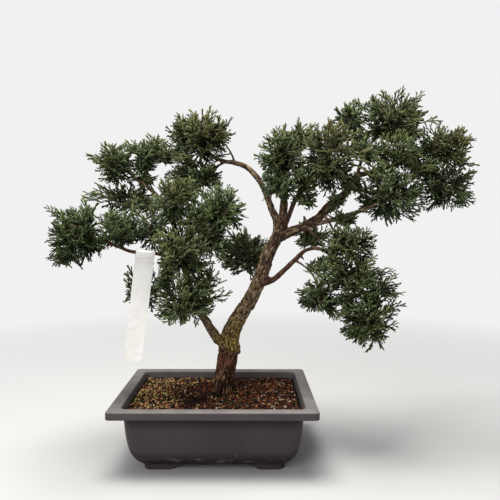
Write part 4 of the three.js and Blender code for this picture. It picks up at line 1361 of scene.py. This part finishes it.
@dataclass
class Wood:
    """The trunk and limbs, fused into one skin and covered in flaking bark.

    Each patch of lichen is given by its middle, its reach and how thickly it grows. The seed sets how
    the flakes' outlines wander, which would follow the clock without it.
    """

    limbs: tuple[Limb, ...] = LIMBS
    knots: tuple[Limb, ...] = KNOTS
    voxel: float = 0.92
    per_span: int = 4
    flake: float = 3.1
    flake_stretch: float = 0.4
    relief: float = 1.35
    foot_top: float = 106
    lichen: tuple[tuple[Point, Point, float], ...] = (
        ((19, 8, 118), (12, 16, 10), 0.95),
        ((13, 6, 132), (16, 18, 22), 0.55),
        ((0, 8, 122), (9, 12, 12), 0.5),
    )
    thick: float = 8
    thin: float = 1.8
    batch: int = 4000
    seed: int = 5

    def skin(self) -> Mesh:
        """Fuses the limbs' tubes into one closed skin."""
        bm = bmesh.new()
        for limb in self.limbs + self.knots:
            path = limb_path(limb, self.per_span)
            add_tube(bm, path, 20 if path[0][1] > 4 else 12)
        rough = bpy.data.objects.new("rough_wood", as_mesh(bm, "rough_wood"))
        bpy.context.scene.collection.objects.link(rough)
        fuse = rough.modifiers.new("fuse", "REMESH")
        fuse.mode = "VOXEL"
        fuse.voxel_size = self.voxel
        ready = rough.evaluated_get(bpy.context.evaluated_depsgraph_get())
        mesh = bpy.data.meshes.new_from_object(ready)
        bpy.data.objects.remove(rough)
        bm = bmesh.new()
        bm.from_mesh(mesh)
        every_way = {"use_axis_x": True, "use_axis_y": True, "use_axis_z": True}
        for _ in range(2):
            bmesh.ops.smooth_vert(bm, verts=bm.verts, factor=0.5, **every_way)
        smooth_all(bm)
        bm.to_mesh(mesh)
        bm.free()
        return mesh

    def stretches(self) -> dict[str, np.ndarray]:
        """Every limb's path as short straight stretches, with a turning frame along each."""
        keys = ("start", "run", "radius", "growth", "side", "front", "along", "mark", "redness")
        rows: dict[str, list] = {key: [] for key in keys}
        for number, limb in enumerate(self.limbs + self.knots):
            path = limb_path(limb, self.per_span)
            front = Vector((0, 1, 0))
            along = 0.0
            for (start, radius), (stop, radius_on) in zip(path, path[1:]):
                run = stop - start
                tangent = run.normalized()
                front = (front - tangent * front.dot(tangent)).normalized()
                frame = (tangent.cross(front), front.copy())
                values = (start, run, radius, radius_on - radius, *frame, along, number, limb.redness)
                for key, value in zip(keys, values):
                    rows[key].append(tuple(value) if isinstance(value, Vector) else value)
                along += run.length
        return {key: np.array(value) for key, value in rows.items()}

    def flow(self, spots: np.ndarray) -> tuple[np.ndarray, np.ndarray, np.ndarray]:
        """Finds where each point lies on its nearest limb.

        Args:
            spots: The points.

        Returns:
            For each point its place across and along its limb, and the limb's radius and redness.
        """
        lines = self.stretches()
        length = np.linalg.norm(lines["run"], axis=1)
        flow = np.zeros_like(spots)
        radii = np.zeros(len(spots))
        redness = np.zeros(len(spots))
        for start in range(0, len(spots), self.batch):
            stop = start + self.batch
            part = spots[start:stop]
            offset = part[:, None, :] - lines["start"][None]
            share = np.clip((offset * lines["run"][None]).sum(2) / length**2, 0, 1)
            radius = lines["radius"] + lines["growth"] * share
            away = offset - lines["run"][None] * share[..., None]
            pick = (np.linalg.norm(away, axis=2) - radius).argmin(1)
            rows = np.arange(len(part))
            chosen = away[rows, pick]
            flow[start:stop, 0] = (chosen * lines["side"][pick]).sum(1) + 37 * lines["mark"][pick]
            flow[start:stop, 1] = (chosen * lines["front"][pick]).sum(1)
            flow[start:stop, 2] = lines["along"][pick] + share[rows, pick] * length[pick]
            radii[start:stop] = radius[rows, pick]
            redness[start:stop] = lines["redness"][pick]
        return flow, radii, redness

    def bark_at(self, place: Vector, foot: float) -> tuple[float, float, float]:
        """Works out the bark's relief.

        Args:
            place: The place across and along the limb.
            foot: How much of the foot's long ridges there is, from 0 to 1.

        Returns:
            How high the bark stands, how deep in a crack the place is, and which flake it is on,
            the last two from 0 to 1.
        """
        spot = Vector((place.x, place.y, place.z * self.flake_stretch)) / self.flake
        spot += noise.noise_vector(spot * 1.3) * 0.5
        near = noise.voronoi(spot)[0]
        gap = near[1] - near[0]
        crack = max(0.0, 1 - gap / 0.2)
        lift = noise.cell(spot)
        furrow = noise.noise(Vector((place.x * 0.3, place.y * 0.3, place.z * 0.06)))
        flakes = 0.5 * lift + 0.5 * furrow + 0.5 * min(gap, 0.5) - 0.7 * crack
        turn = Vector((place.x * 0.36, place.y * 0.36, place.z * 0.035))
        ridge = 1 - 4 * abs(noise.noise(turn)) + 0.5 * noise.noise(turn * 3.1)
        height = flakes + (1.1 * ridge - 0.7 - flakes) * foot
        deep = crack + (max(0.0, min(1.0, -1.1 * ridge)) - crack) * foot
        return height, deep, lift

    def lichen_at(self, spots: np.ndarray) -> np.ndarray:
        """How thickly lichen grows at each point, from 0 to 1."""
        growth = np.zeros(len(spots))
        for middle, reach, share in self.lichen:
            away = np.linalg.norm((spots - np.array(middle)) / np.array(reach), axis=1)
            growth = np.maximum(growth, share * np.clip((1.15 - away) * 2.2, 0, 1))
        return growth

    def build(self, bench: Bench) -> None:
        """Builds the wood and puts it in the model."""
        noise.seed_set(self.seed)
        mesh = self.skin()
        spots = vectors_of(mesh.vertices, "co")
        normals = vectors_of(mesh.vertex_normals, "vector")
        flow, radii, redness = self.flow(spots)
        foot = np.clip((self.foot_top - spots[:, 2]) / 9, 0, 1)
        bark = np.array([self.bark_at(Vector(place), share) for place, share in zip(flow, foot)])
        age = np.clip((radii - self.thin) / (self.thick - self.thin), 0, 1)
        amount = self.relief * (0.16 + 0.84 * age) * np.minimum(1, radii / 5)
        spots += normals * (bark[:, 0] * amount)[:, None]
        mesh.vertices.foreach_set("co", spots.astype(np.float32).ravel())
        cracks = bark[:, 1] * (0.45 + 0.55 * age) * (redness + age > 0.02)
        state = np.stack([cracks, self.lichen_at(spots), redness, np.ones(len(spots))], axis=1)
        store(mesh, "bark_state", "FLOAT_COLOR", "color", state)
        store(mesh, "bark_flow", "FLOAT_VECTOR", "vector", flow)
        store(mesh, "bark_flake", "FLOAT", "value", bark[:, 2])
        bench.piece("trunk_and_limbs_bark", mesh, Bark().material(), Slot.BARK, ["trunk_and_limbs"])


@dataclass
class HangingLabel:
    """A blank strip folded over a limb, with both ends hanging down together."""

    width: float = 19
    length: float = 114
    front_short: float = 8.5
    loop: float = 3.5
    neck: float = 8.2
    film: float = 0.32
    apart: float = 0.2
    curl: float = 0.5
    ripple: float = 0.35
    twist: float = math.radians(-26)
    seat: Point = (-70.8, -37.3, 220.25)
    seat_run: Point = (22.5, 7, -2.75)
    hang: float = 0.85
    steps_down: int = 26
    steps_across: int = 8
    loop_steps: int = 14

    @property
    def along(self) -> Vector:
        """The way the limb runs under the label."""
        return Vector(self.seat_run).normalized()

    @property
    def down(self) -> Vector:
        """The way the label hangs, square to the limb."""
        straight = Vector((0, 0, -1))
        return (straight - self.along * straight.dot(self.along)).normalized()

    @property
    def through(self) -> Vector:
        """The way through the label, away from the viewer."""
        return self.along.cross(self.down)

    def point(self, along: float, through: float, down: float) -> Vector:
        """Places a point of the label.

        Args:
            along: How far it is across the label's width.
            through: How far behind the label's middle.
            down: How far below the fold's middle.

        Returns:
            The point.
        """
        turn = self.twist * max(0.0, down / self.length)
        across = along * math.cos(turn) - through * math.sin(turn)
        deep = along * math.sin(turn) + through * math.cos(turn)
        below = self.down * (down + self.hang)
        return Vector(self.seat) + self.along * across + self.through * deep + below

    def outline(self) -> list[tuple[float, float]]:
        """The strip's line seen along the limb: through and down, from the front end to the rear end."""
        end = self.length - self.loop
        line = []
        for step in range(self.steps_down + 1):
            down = end - self.front_short - (end - self.front_short - self.neck) * step / self.steps_down
            line.append((-self.apart, down))
        for step in range(1, self.loop_steps):
            angle = math.pi - math.pi * step / self.loop_steps
            line.append((self.loop * math.cos(angle), -self.loop * math.sin(angle)))
        for step in range(self.steps_down + 1):
            line.append((self.apart, self.neck + (end - self.neck) * step / self.steps_down))
        return line

    def covers(self, spot: Vector) -> bool:
        """Whether a point is in the label, close to it, or in front of it."""
        offset = spot - Vector(self.seat) - self.down * self.hang
        down = offset.dot(self.down)
        if not -7 < down < self.length:
            return False
        turn = self.twist * max(0.0, down / self.length)
        flat, deep = offset.dot(self.along), offset.dot(self.through)
        across = flat * math.cos(turn) + deep * math.sin(turn)
        behind = -flat * math.sin(turn) + deep * math.cos(turn)
        return abs(across) < self.width / 2 + 1.2 and behind < (5 if down < self.neck else 2.4)

    def build(self, bench: Bench) -> None:
        """Builds the label and puts it in the model."""
        bm = bmesh.new()
        outline = self.outline()
        verts = [bm.verts.new((-self.width / 2, through, down)) for through, down in outline]
        edges = [bm.edges.new(pair) for pair in zip(verts, verts[1:])]
        for _ in range(self.steps_across):
            moved, edges = extruded(bm, edges)
            bmesh.ops.translate(bm, vec=(self.width / self.steps_across, 0, 0), verts=moved)
        for vert in bm.verts:
            along, through, down = vert.co
            below = max(0.0, down)
            swell = math.sin(below / self.length * math.pi * 1.2)
            curl = self.curl * (along / (self.width / 2)) ** 2 * swell
            waves = noise.noise(Vector((along * 0.08, down * 0.045, 3.1)))
            ripple = self.ripple * waves * min(1.0, below / 20)
            vert.co = self.point(along, through + curl + ripple, down)
        bmesh.ops.recalc_face_normals(bm, faces=bm.faces)
        put_in_order(bm)
        bmesh.ops.solidify(bm, geom=bm.faces[:], thickness=self.film)
        bmesh.ops.recalc_face_normals(bm, faces=bm.faces)
        put_in_order(bm)
        smooth_up_to(bm, 50)
        finish = LabelPlastic().material()
        bench.piece("hanging_label_strip", as_mesh(bm, "label"), finish, Slot.LABEL, ["hanging_label"])


@dataclass
class Foliage:
    """Forked sprigs of scale leaves, on fine twigs that grow from the limbs."""

    label: HangingLabel
    sprays: tuple[Spray, ...] = SPRAYS
    leaders: tuple[tuple[str, Point], ...] = LEADERS
    strays: tuple[tuple[str, Point, Point], ...] = STRAYS
    wisps: tuple[Spray, ...] = WISPS
    kinds: int = 16
    cord_radius: float = 0.68
    cord_sides: int = 3
    sprig_length: float = 22
    fan_space: float = 520
    fan_sprigs: int = 5
    fan_spread: float = 0.66
    fan_fall: float = 0.2
    inner_sprigs: int = 1
    inner_share: float = 0.66
    lumps: float = 0.22
    reach_over: float = 1.4
    upward: float = 0.35
    flow: float = 0.55
    wildness: float = 0.22
    olive: float = 0.13
    twig_radius: float = 0.7
    twig_sides: int = 4
    thickest_bearer: float = 4.5
    seed: int = 20

    def add_cord(self, bm: BMesh, start: Vector, stop: Vector, radius: float) -> None:
        """Adds one straight cord.

        Args:
            bm: The mesh to add it to.
            start: Its root.
            stop: Its tip.
            radius: How thick it is.
        """
        run = stop - start
        bmesh.ops.create_cone(
            bm,
            cap_ends=True,
            cap_tris=False,
            segments=self.cord_sides,
            radius1=radius,
            radius2=radius,
            depth=run.length,
            matrix=Matrix.LocRotScale((start + stop) / 2, turned_to(run.normalized()), None),
        )

    def stem_at(self, bow: Vector, share: float) -> Vector:
        """Where a bowed stem is at a share of its length."""
        return Vector((0, 0, self.sprig_length * share)) + bow * math.sin(share * math.pi)

    def add_stem(self, bm: BMesh, bow: Vector, shares: Sequence[float]) -> list[Vector]:
        """Adds a bowed stem from the origin along +Z.

        Args:
            bm: The mesh to add it to.
            bow: Which way it bows, and how far.
            shares: Where its cords meet, as shares of its length.

        Returns:
            The points where its cords meet.
        """
        stops = [self.stem_at(bow, share) for share in shares]
        for start, stop in zip(stops, stops[1:]):
            self.add_cord(bm, start, stop, self.cord_radius)
        return stops

    def sprig(self, rng: random.Random, name: str) -> Mesh:
        """Makes a forked sprig from the origin along +Z.

        Args:
            rng: The random source.
            name: The mesh's name.

        Returns:
            The sprig.
        """
        bm = bmesh.new()
        length, radius = self.sprig_length, self.cord_radius
        bow = random_bow(rng, 0.4, 2)
        self.add_stem(bm, bow, (0, 0.35, 0.7, 1))
        count = rng.choice([4, 5])
        for fork in range(count):
            share = 0.08 + 0.76 * (fork + rng.uniform(0, 0.6)) / count
            root = self.stem_at(bow, share)
            around = fork * math.pi + rng.uniform(-0.5, 0.5)
            lean = math.radians(rng.uniform(22, 40))
            reach = length * rng.uniform(0.42, 0.6) * (1.1 - 0.65 * share)
            side = Vector((math.cos(around), math.sin(around), 0))
            out = side * math.sin(lean) + Vector((0, 0, math.cos(lean)))
            self.add_cord(bm, root, root + out * reach, radius * 0.95)
            for twig in range(2 if fork < 2 else 1):
                fork_root = root + out * reach * (0.35 + 0.27 * twig + rng.uniform(0, 0.16))
                turn = side * rng.uniform(0.35, 0.65) * (-1) ** (twig + fork)
                way = (out + turn + random_vector(rng, 0.25)).normalized()
                fork_tip = fork_root + way * reach * rng.uniform(0.36, 0.5)
                self.add_cord(bm, fork_root, fork_tip, radius * 0.9)
        along = bm.verts.layers.float.new("leaf_along")
        bm.verts.layers.float_color.new("leaf_tone")
        bm.verts.ensure_lookup_table()
        points_to_cord = 2 * self.cord_sides
        for start in range(0, len(bm.verts), points_to_cord):
            offset = rng.uniform(-0.28, 0.24)
            for vert in bm.verts[start : start + points_to_cord]:
                vert[along] = min(1.0, max(0.0, vert.co.z / length + offset))
        smooth_all(bm)
        return as_mesh(bm, name)

    def shoot(self, rng: random.Random) -> Mesh:
        """Makes a long bent shoot from the origin along +Z, forked near its tip."""
        bm = bmesh.new()
        stops = self.add_stem(bm, random_bow(rng, 0.8, 1.8), (0, 0.3, 0.62, 1))
        for stop in (stops[1], stops[2], stops[2]):
            way = (random_vector(rng, 1) + Vector((0, 0, 1.6))).normalized()
            tip = stop + way * self.sprig_length * rng.uniform(0.16, 0.3)
            self.add_cord(bm, stop, tip, self.cord_radius * 0.95)
        along = bm.verts.layers.float.new("leaf_along")
        bm.verts.layers.float_color.new("leaf_tone")
        for vert in bm.verts:
            vert[along] = min(1.0, 0.3 + 0.5 * vert.co.z / self.sprig_length)
        smooth_all(bm)
        return as_mesh(bm, "shoot")

    def fan_tone(self, spray: Spray, rng: random.Random, spot: Vector) -> Colour:
        """Picks the main colour of a fan.

        Args:
            spray: The spray that it belongs to.
            rng: The random source.
            spot: Where it is.

        Returns:
            The colour.
        """
        high = (spot.z - spray.at[2]) / spray.reach[2]
        place = spot * 0.045
        patch = noise.noise(place) + 0.4 + rng.uniform(-0.15, 0.15)
        bronze = noise.noise(place.yzx) + 0.25 + 0.4 * high
        main = blended(LeafTone.GREEN.value, LeafTone.GREY.value, rng.uniform(0, 0.8))
        olive = min(0.9, max(0.0, self.olive * (1 + high) * 2.4 * patch))
        main = blended(main, LeafTone.OLIVE.value, olive)
        return blended(main, LeafTone.BRONZE.value, min(0.7, max(0.0, spray.bronze * 3.5 * bronze)))

    def crowded(self, spray: Spray, spot: Vector) -> bool:
        """Whether a point lies deep inside another spray."""
        own = spray.share_at(spot)
        others = (other for other in self.sprays if other.name != spray.name)
        return any(other.share_at(spot) < min(0.7, own - 0.12) for other in others)

    def beside(self, spray: Spray, spot: Vector) -> bool:
        """Whether a point lies in or close to another spray."""
        return any(other.name != spray.name and other.share_at(spot) < 1.1 for other in self.sprays)

    def fans(self, cloud: Spray, rng: random.Random) -> Iterable[Fan]:
        """Lays out a cloud's sprigs as fans that spread from hubs of their own.

        Args:
            cloud: The spray or wisp.
            rng: Its random source.

        Returns:
            Each fan's hub, with each of its sprigs' tip, the way it points and how far out it is.
        """
        centre, reach = Vector(cloud.at), Vector(cloud.reach)
        count = max(3, round(cloud.area() / self.fan_space * cloud.full))
        turn = rng.uniform(0, math.tau)
        for index in range(count):
            middle = (even_direction(index, count, turn) + random_vector(rng, 0.2)).normalized()
            crown = rng.uniform(0.9, 1.06) + self.lumps * noise.noise(middle * 1.7 + centre * 0.37)
            if self.beside(cloud, centre + middle * reach * self.reach_over):
                crown *= rng.uniform(1.0, self.reach_over)
            hub = centre + middle * reach * crown * rng.uniform(0.25, 0.45)
            sprigs = []
            for number in range(self.fan_sprigs):
                direction = (middle + random_vector(rng, self.fan_spread)).normalized()
                fall = 1 - self.fan_fall * (direction - middle).length_squared
                share = crown * fall * rng.uniform(0.8, 1.0)
                if number < self.inner_sprigs:
                    share *= self.inner_share
                tip = centre + direction * reach * share
                if not self.crowded(cloud, tip):
                    aim = (tip - hub).normalized() + Vector((0, 0, self.upward))
                    aim += random_vector(rng, self.wildness)
                    sprigs.append((tip, aim.normalized(), share))
            yield hub, sprigs

    def build(self, bench: Bench) -> None:
        """Builds every spray and the twigs that carry them, and puts them in the model."""
        rng = random.Random(self.seed)
        kinds = [self.sprig(rng, f"sprig_{index}") for index in range(self.kinds)]
        finish = ScaleLeaf().material()
        twigs = bmesh.new()
        for number, spray in enumerate(self.sprays):
            own = random.Random(self.seed * 100 + number)
            leaves = bmesh.new()
            leaves.verts.layers.float.new("leaf_along")
            leaves.verts.layers.float_color.new("leaf_tone")
            self.grow(spray, own, kinds, leaves, twigs)
            self.add_strays(spray, own, leaves)
            for wisp in self.wisps:
                if wisp.name == spray.name:
                    self.grow(wisp, own, kinds, leaves, twigs)
            name = f"sprigs_{spray.name}"
            bench.piece(name, as_mesh(leaves, name), finish, Slot.LEAF, [f"foliage_{spray.name}"])
        smooth_up_to(twigs, 70)
        bench.piece("fine_twigs", as_mesh(twigs, "fine_twigs"), FINE_TWIG.material(), Slot.BARK)

    def limbs_near(self, cloud: Spray) -> Path:
        """The points of the limbs that a cloud's twigs grow from."""
        bark = [stop for limb in LIMBS for stop in limb_path(limb, 3)]
        thin = [(centre, radius) for centre, radius in bark if radius < self.thickest_bearer]
        near = [(centre, radius) for centre, radius in thin if cloud.share_at(centre) < 0.85]
        return near or [min(bark, key=lambda stop: cloud.share_at(stop[0]))]

    def leading_fan(self, goal: Vector, fans: list[Fan]) -> Fan:
        """A row of sprigs that reaches from the nearest hub to a leader's tip."""
        hub = min((hub for hub, _ in fans), key=lambda spot: (spot - goal).length)
        aim = (goal - hub).normalized()
        return hub, [(goal - aim * self.sprig_length * back, aim, 1.0) for back in (0, 0.5, 1.0)]

    def shaded(self, cloud: Spray, rng: random.Random, tip: Vector, share: float, main: Colour) -> Colour:
        """Paints shade into a fan's colour for one sprig: more deep in the cloud, low down and at its
        outline.

        Args:
            cloud: The spray or wisp.
            rng: Its random source.
            tip: Where the sprig's tip is.
            share: How far out the sprig is.
            main: The fan's colour.

        Returns:
            The sprig's colour.
        """
        high = (tip.z - cloud.at[2]) / cloud.reach[2]
        # Painted shade: sprigs deep in the cloud or low down darken as if shaded by the rest, those at its
        # outline seen from the front as if backlit, and each cloud's gloom adds more or takes some away.
        middle = 1 - min(1.0, abs(tip.y - cloud.at[1]) / cloud.reach[1] * 1.6)
        shade = 1.1 - share - 0.2 * high + 0.45 * middle + cloud.extra_shade + rng.uniform(-0.25, 0.25)
        return blended(main, LeafTone.SHADE.value, min(0.95, max(0.0, shade)))

    def grow(
        self, cloud: Spray, rng: random.Random, kinds: list[Mesh], leaves: BMesh, twigs: BMesh
    ) -> None:
        """Grows one cloud of sprigs on its twigs.

        Args:
            cloud: The spray or wisp.
            rng: Its random source.
            kinds: The sprigs to copy.
            leaves: The mesh that its sprigs are added to.
            twigs: The mesh that its twigs are added to.
        """
        near = self.limbs_near(cloud)
        fans = list(self.fans(cloud, rng))
        if cloud in self.sprays:
            goals = [Vector(tip) for name, tip in self.leaders if name == cloud.name]
            fans += [self.leading_fan(goal, fans) for goal in goals]
        grown = bmesh.new()
        for hub, sprigs in fans:
            sprigs = [sprig for sprig in sprigs if not self.hides_label(sprig[0], sprig[1])]
            if not sprigs or self.label.covers(hub):
                continue
            start, radius = min(near, key=lambda stop: (stop[0] - hub).length)
            thick = min(self.twig_radius, radius * 0.8)
            middle = start.lerp(hub, 0.5) + random_vector(rng, 1.6)
            if not self.label.covers(middle):
                path = [(start, thick), (middle, thick * 0.9), (hub, thick * 0.75)]
                add_tube(grown, path, self.twig_sides)
            main = self.fan_tone(cloud, rng, hub)
            for tip, aim, share in sprigs:
                scale = rng.uniform(0.8, 1.15)
                aim = (aim + (tip - start).normalized() * self.flow).normalized()
                root = tip - aim * self.sprig_length * scale
                turn = turned_to(aim, rng.uniform(0, math.tau))
                tone = self.shaded(cloud, rng, tip, share, main)
                stand = Matrix.LocRotScale(root, turn, Vector.Fill(3, scale))
                add_copy(leaves, rng.choice(kinds), stand, "leaf_tone", tone)
                stalk = bmesh.new()
                self.add_cord(stalk, hub, root + aim * 2.5, self.twig_radius * 0.65)
                pour(grown, stalk)
        pour(twigs, grown)

    def add_strays(self, spray: Spray, rng: random.Random, leaves: BMesh) -> None:
        """Adds the long shoots that stand clear of a spray.

        Args:
            spray: The spray.
            rng: Its random source.
            leaves: The mesh that they are added to.
        """
        for name, root, tip in self.strays:
            if name != spray.name:
                continue
            start = Vector(root)
            run = Vector(tip) - start
            scale = Vector.Fill(3, run.length / self.sprig_length)
            stand = Matrix.LocRotScale(start, turned_to(run.normalized()), scale)
            shoot = self.shoot(rng)
            add_copy(leaves, shoot, stand, "leaf_tone", self.fan_tone(spray, rng, start))

    def hides_label(self, tip: Vector, aim: Vector) -> bool:
        """Whether a sprig would meet the label or hang in front of it."""
        spots = (tip - aim * self.sprig_length * share for share in (0, 0.35, 0.7, 1.0))
        return any(self.label.covers(spot) for spot in spots)


@dataclass(frozen=True)
class SoftLight:
    """A square light aimed at the tree: where it is and how wide, in metres, and its power in watts."""

    name: str
    at: Point
    size: float
    power: float


@dataclass
class Studio:
    """A plain pale floor, soft lights, and a camera at the photograph's viewing angle."""

    camera_at: Point = (32.0, -571.0, 248.3)
    lens: float = 37.84
    sensor: float = 36
    pitch: float = math.radians(2.70)
    yaw: float = math.radians(0.39)
    roll: float = math.radians(0.2)
    floor_radius: float = 1.3
    floor_solid: float = 0.34
    floor_gone: float = 0.95
    backdrop: Colour = from_srgb(241, 241, 241)
    floor_colour: Colour = from_srgb(192, 191, 189)
    sky_strength: float = 0.36
    aim: Point = (0, 0, 0.2)
    lights: tuple[SoftLight, ...] = (
        SoftLight("overhead", (-0.2, -0.15, 1.5), 0.8, 34),
        SoftLight("front_fill", (-0.9, -1.4, 0.9), 1.0, 13),
    )

    def place_camera(self, bench: Bench) -> None:
        """Makes the camera."""
        forward = Vector(
            (
                math.sin(self.yaw) * math.cos(self.pitch),
                math.cos(self.yaw) * math.cos(self.pitch),
                -math.sin(self.pitch),
            )
        )
        right = Vector((math.cos(self.yaw), -math.sin(self.yaw), 0))
        up = right.cross(forward)
        turned_right = right * math.cos(self.roll) + up * math.sin(self.roll)
        turned_up = up * math.cos(self.roll) - right * math.sin(self.roll)
        data = bpy.data.cameras.new("camera")
        data.lens = self.lens
        data.sensor_width = self.sensor
        data.clip_start = 0.01
        data.clip_end = 20
        camera = bpy.data.objects.new("camera", data)
        turn = Matrix((turned_right, turned_up, -forward)).transposed().to_4x4()
        camera.matrix_world = Matrix.Translation(bench.to_row @ Vector(self.camera_at)) @ turn
        bpy.context.scene.collection.objects.link(camera)
        bpy.context.scene.camera = camera

    def lay_floor(self) -> None:
        """Lays a round floor that fades out into the backdrop."""
        bm = bmesh.new()
        bmesh.ops.create_circle(bm, cap_ends=True, segments=96, radius=self.floor_radius)
        floor = bpy.data.objects.new("floor", as_mesh(bm, "floor"))
        bpy.context.scene.collection.objects.link(floor)
        sheet = NodeSheet("pale_floor")
        place = sheet.place()
        away = sheet.add("ShaderNodeVectorMath", {0: place}, operation="LENGTH").outputs["Value"]
        sheet.feed(sheet.surface.inputs["Alpha"], sheet.fit(away, self.floor_solid, self.floor_gone, 1, 0))
        floor.data.materials.append(sheet.finish(self.floor_colour, 0.7, None, 0.2))

    def add_light(self, lamp: SoftLight) -> None:
        """Adds a light."""
        data = bpy.data.lights.new(lamp.name, "AREA")
        data.shape = "SQUARE"
        data.size = lamp.size
        data.energy = lamp.power
        light = bpy.data.objects.new(lamp.name, data)
        light.location = lamp.at
        light.rotation_mode = "QUATERNION"
        light.rotation_quaternion = (Vector(self.aim) - Vector(lamp.at)).to_track_quat("-Z", "Y")
        bpy.context.scene.collection.objects.link(light)

    def set_sky(self) -> None:
        """Sets the pale backdrop, which lights the tree less than it shows."""
        world = bpy.data.worlds.new("studio")
        world.use_nodes = True
        nodes, links = world.node_tree.nodes, world.node_tree.links
        back = nodes["Background"]
        back.inputs["Color"].default_value = self.backdrop
        seen = nodes.new("ShaderNodeLightPath").outputs["Is Camera Ray"]
        strength = nodes.new("ShaderNodeMapRange")
        strength.inputs["To Min"].default_value = self.sky_strength
        links.new(seen, strength.inputs["Value"])
        links.new(strength.outputs["Result"], back.inputs["Strength"])
        bpy.context.scene.world = world

    def build(self, bench: Bench) -> None:
        """Sets up the whole studio."""
        self.place_camera(bench)
        self.lay_floor()
        self.set_sky()
        for lamp in self.lights:
            self.add_light(lamp)
        bpy.context.scene.view_settings.view_transform = "Standard"


def main() -> None:
    """Builds every sub-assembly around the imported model."""
    logging.basicConfig(level=logging.INFO, format="%(relativeCreated)d ms %(name)s: %(message)s")
    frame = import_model()
    bench = Bench()
    Studio().build(bench)
    TrainingPot().build(bench)
    Soil().build(bench, frame["nodes"]["soil"])
    Wood().build(bench)
    label = HangingLabel()
    label.build(bench)
    Foliage(label).build(bench)
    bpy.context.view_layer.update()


if __name__ == "__main__":
    main()
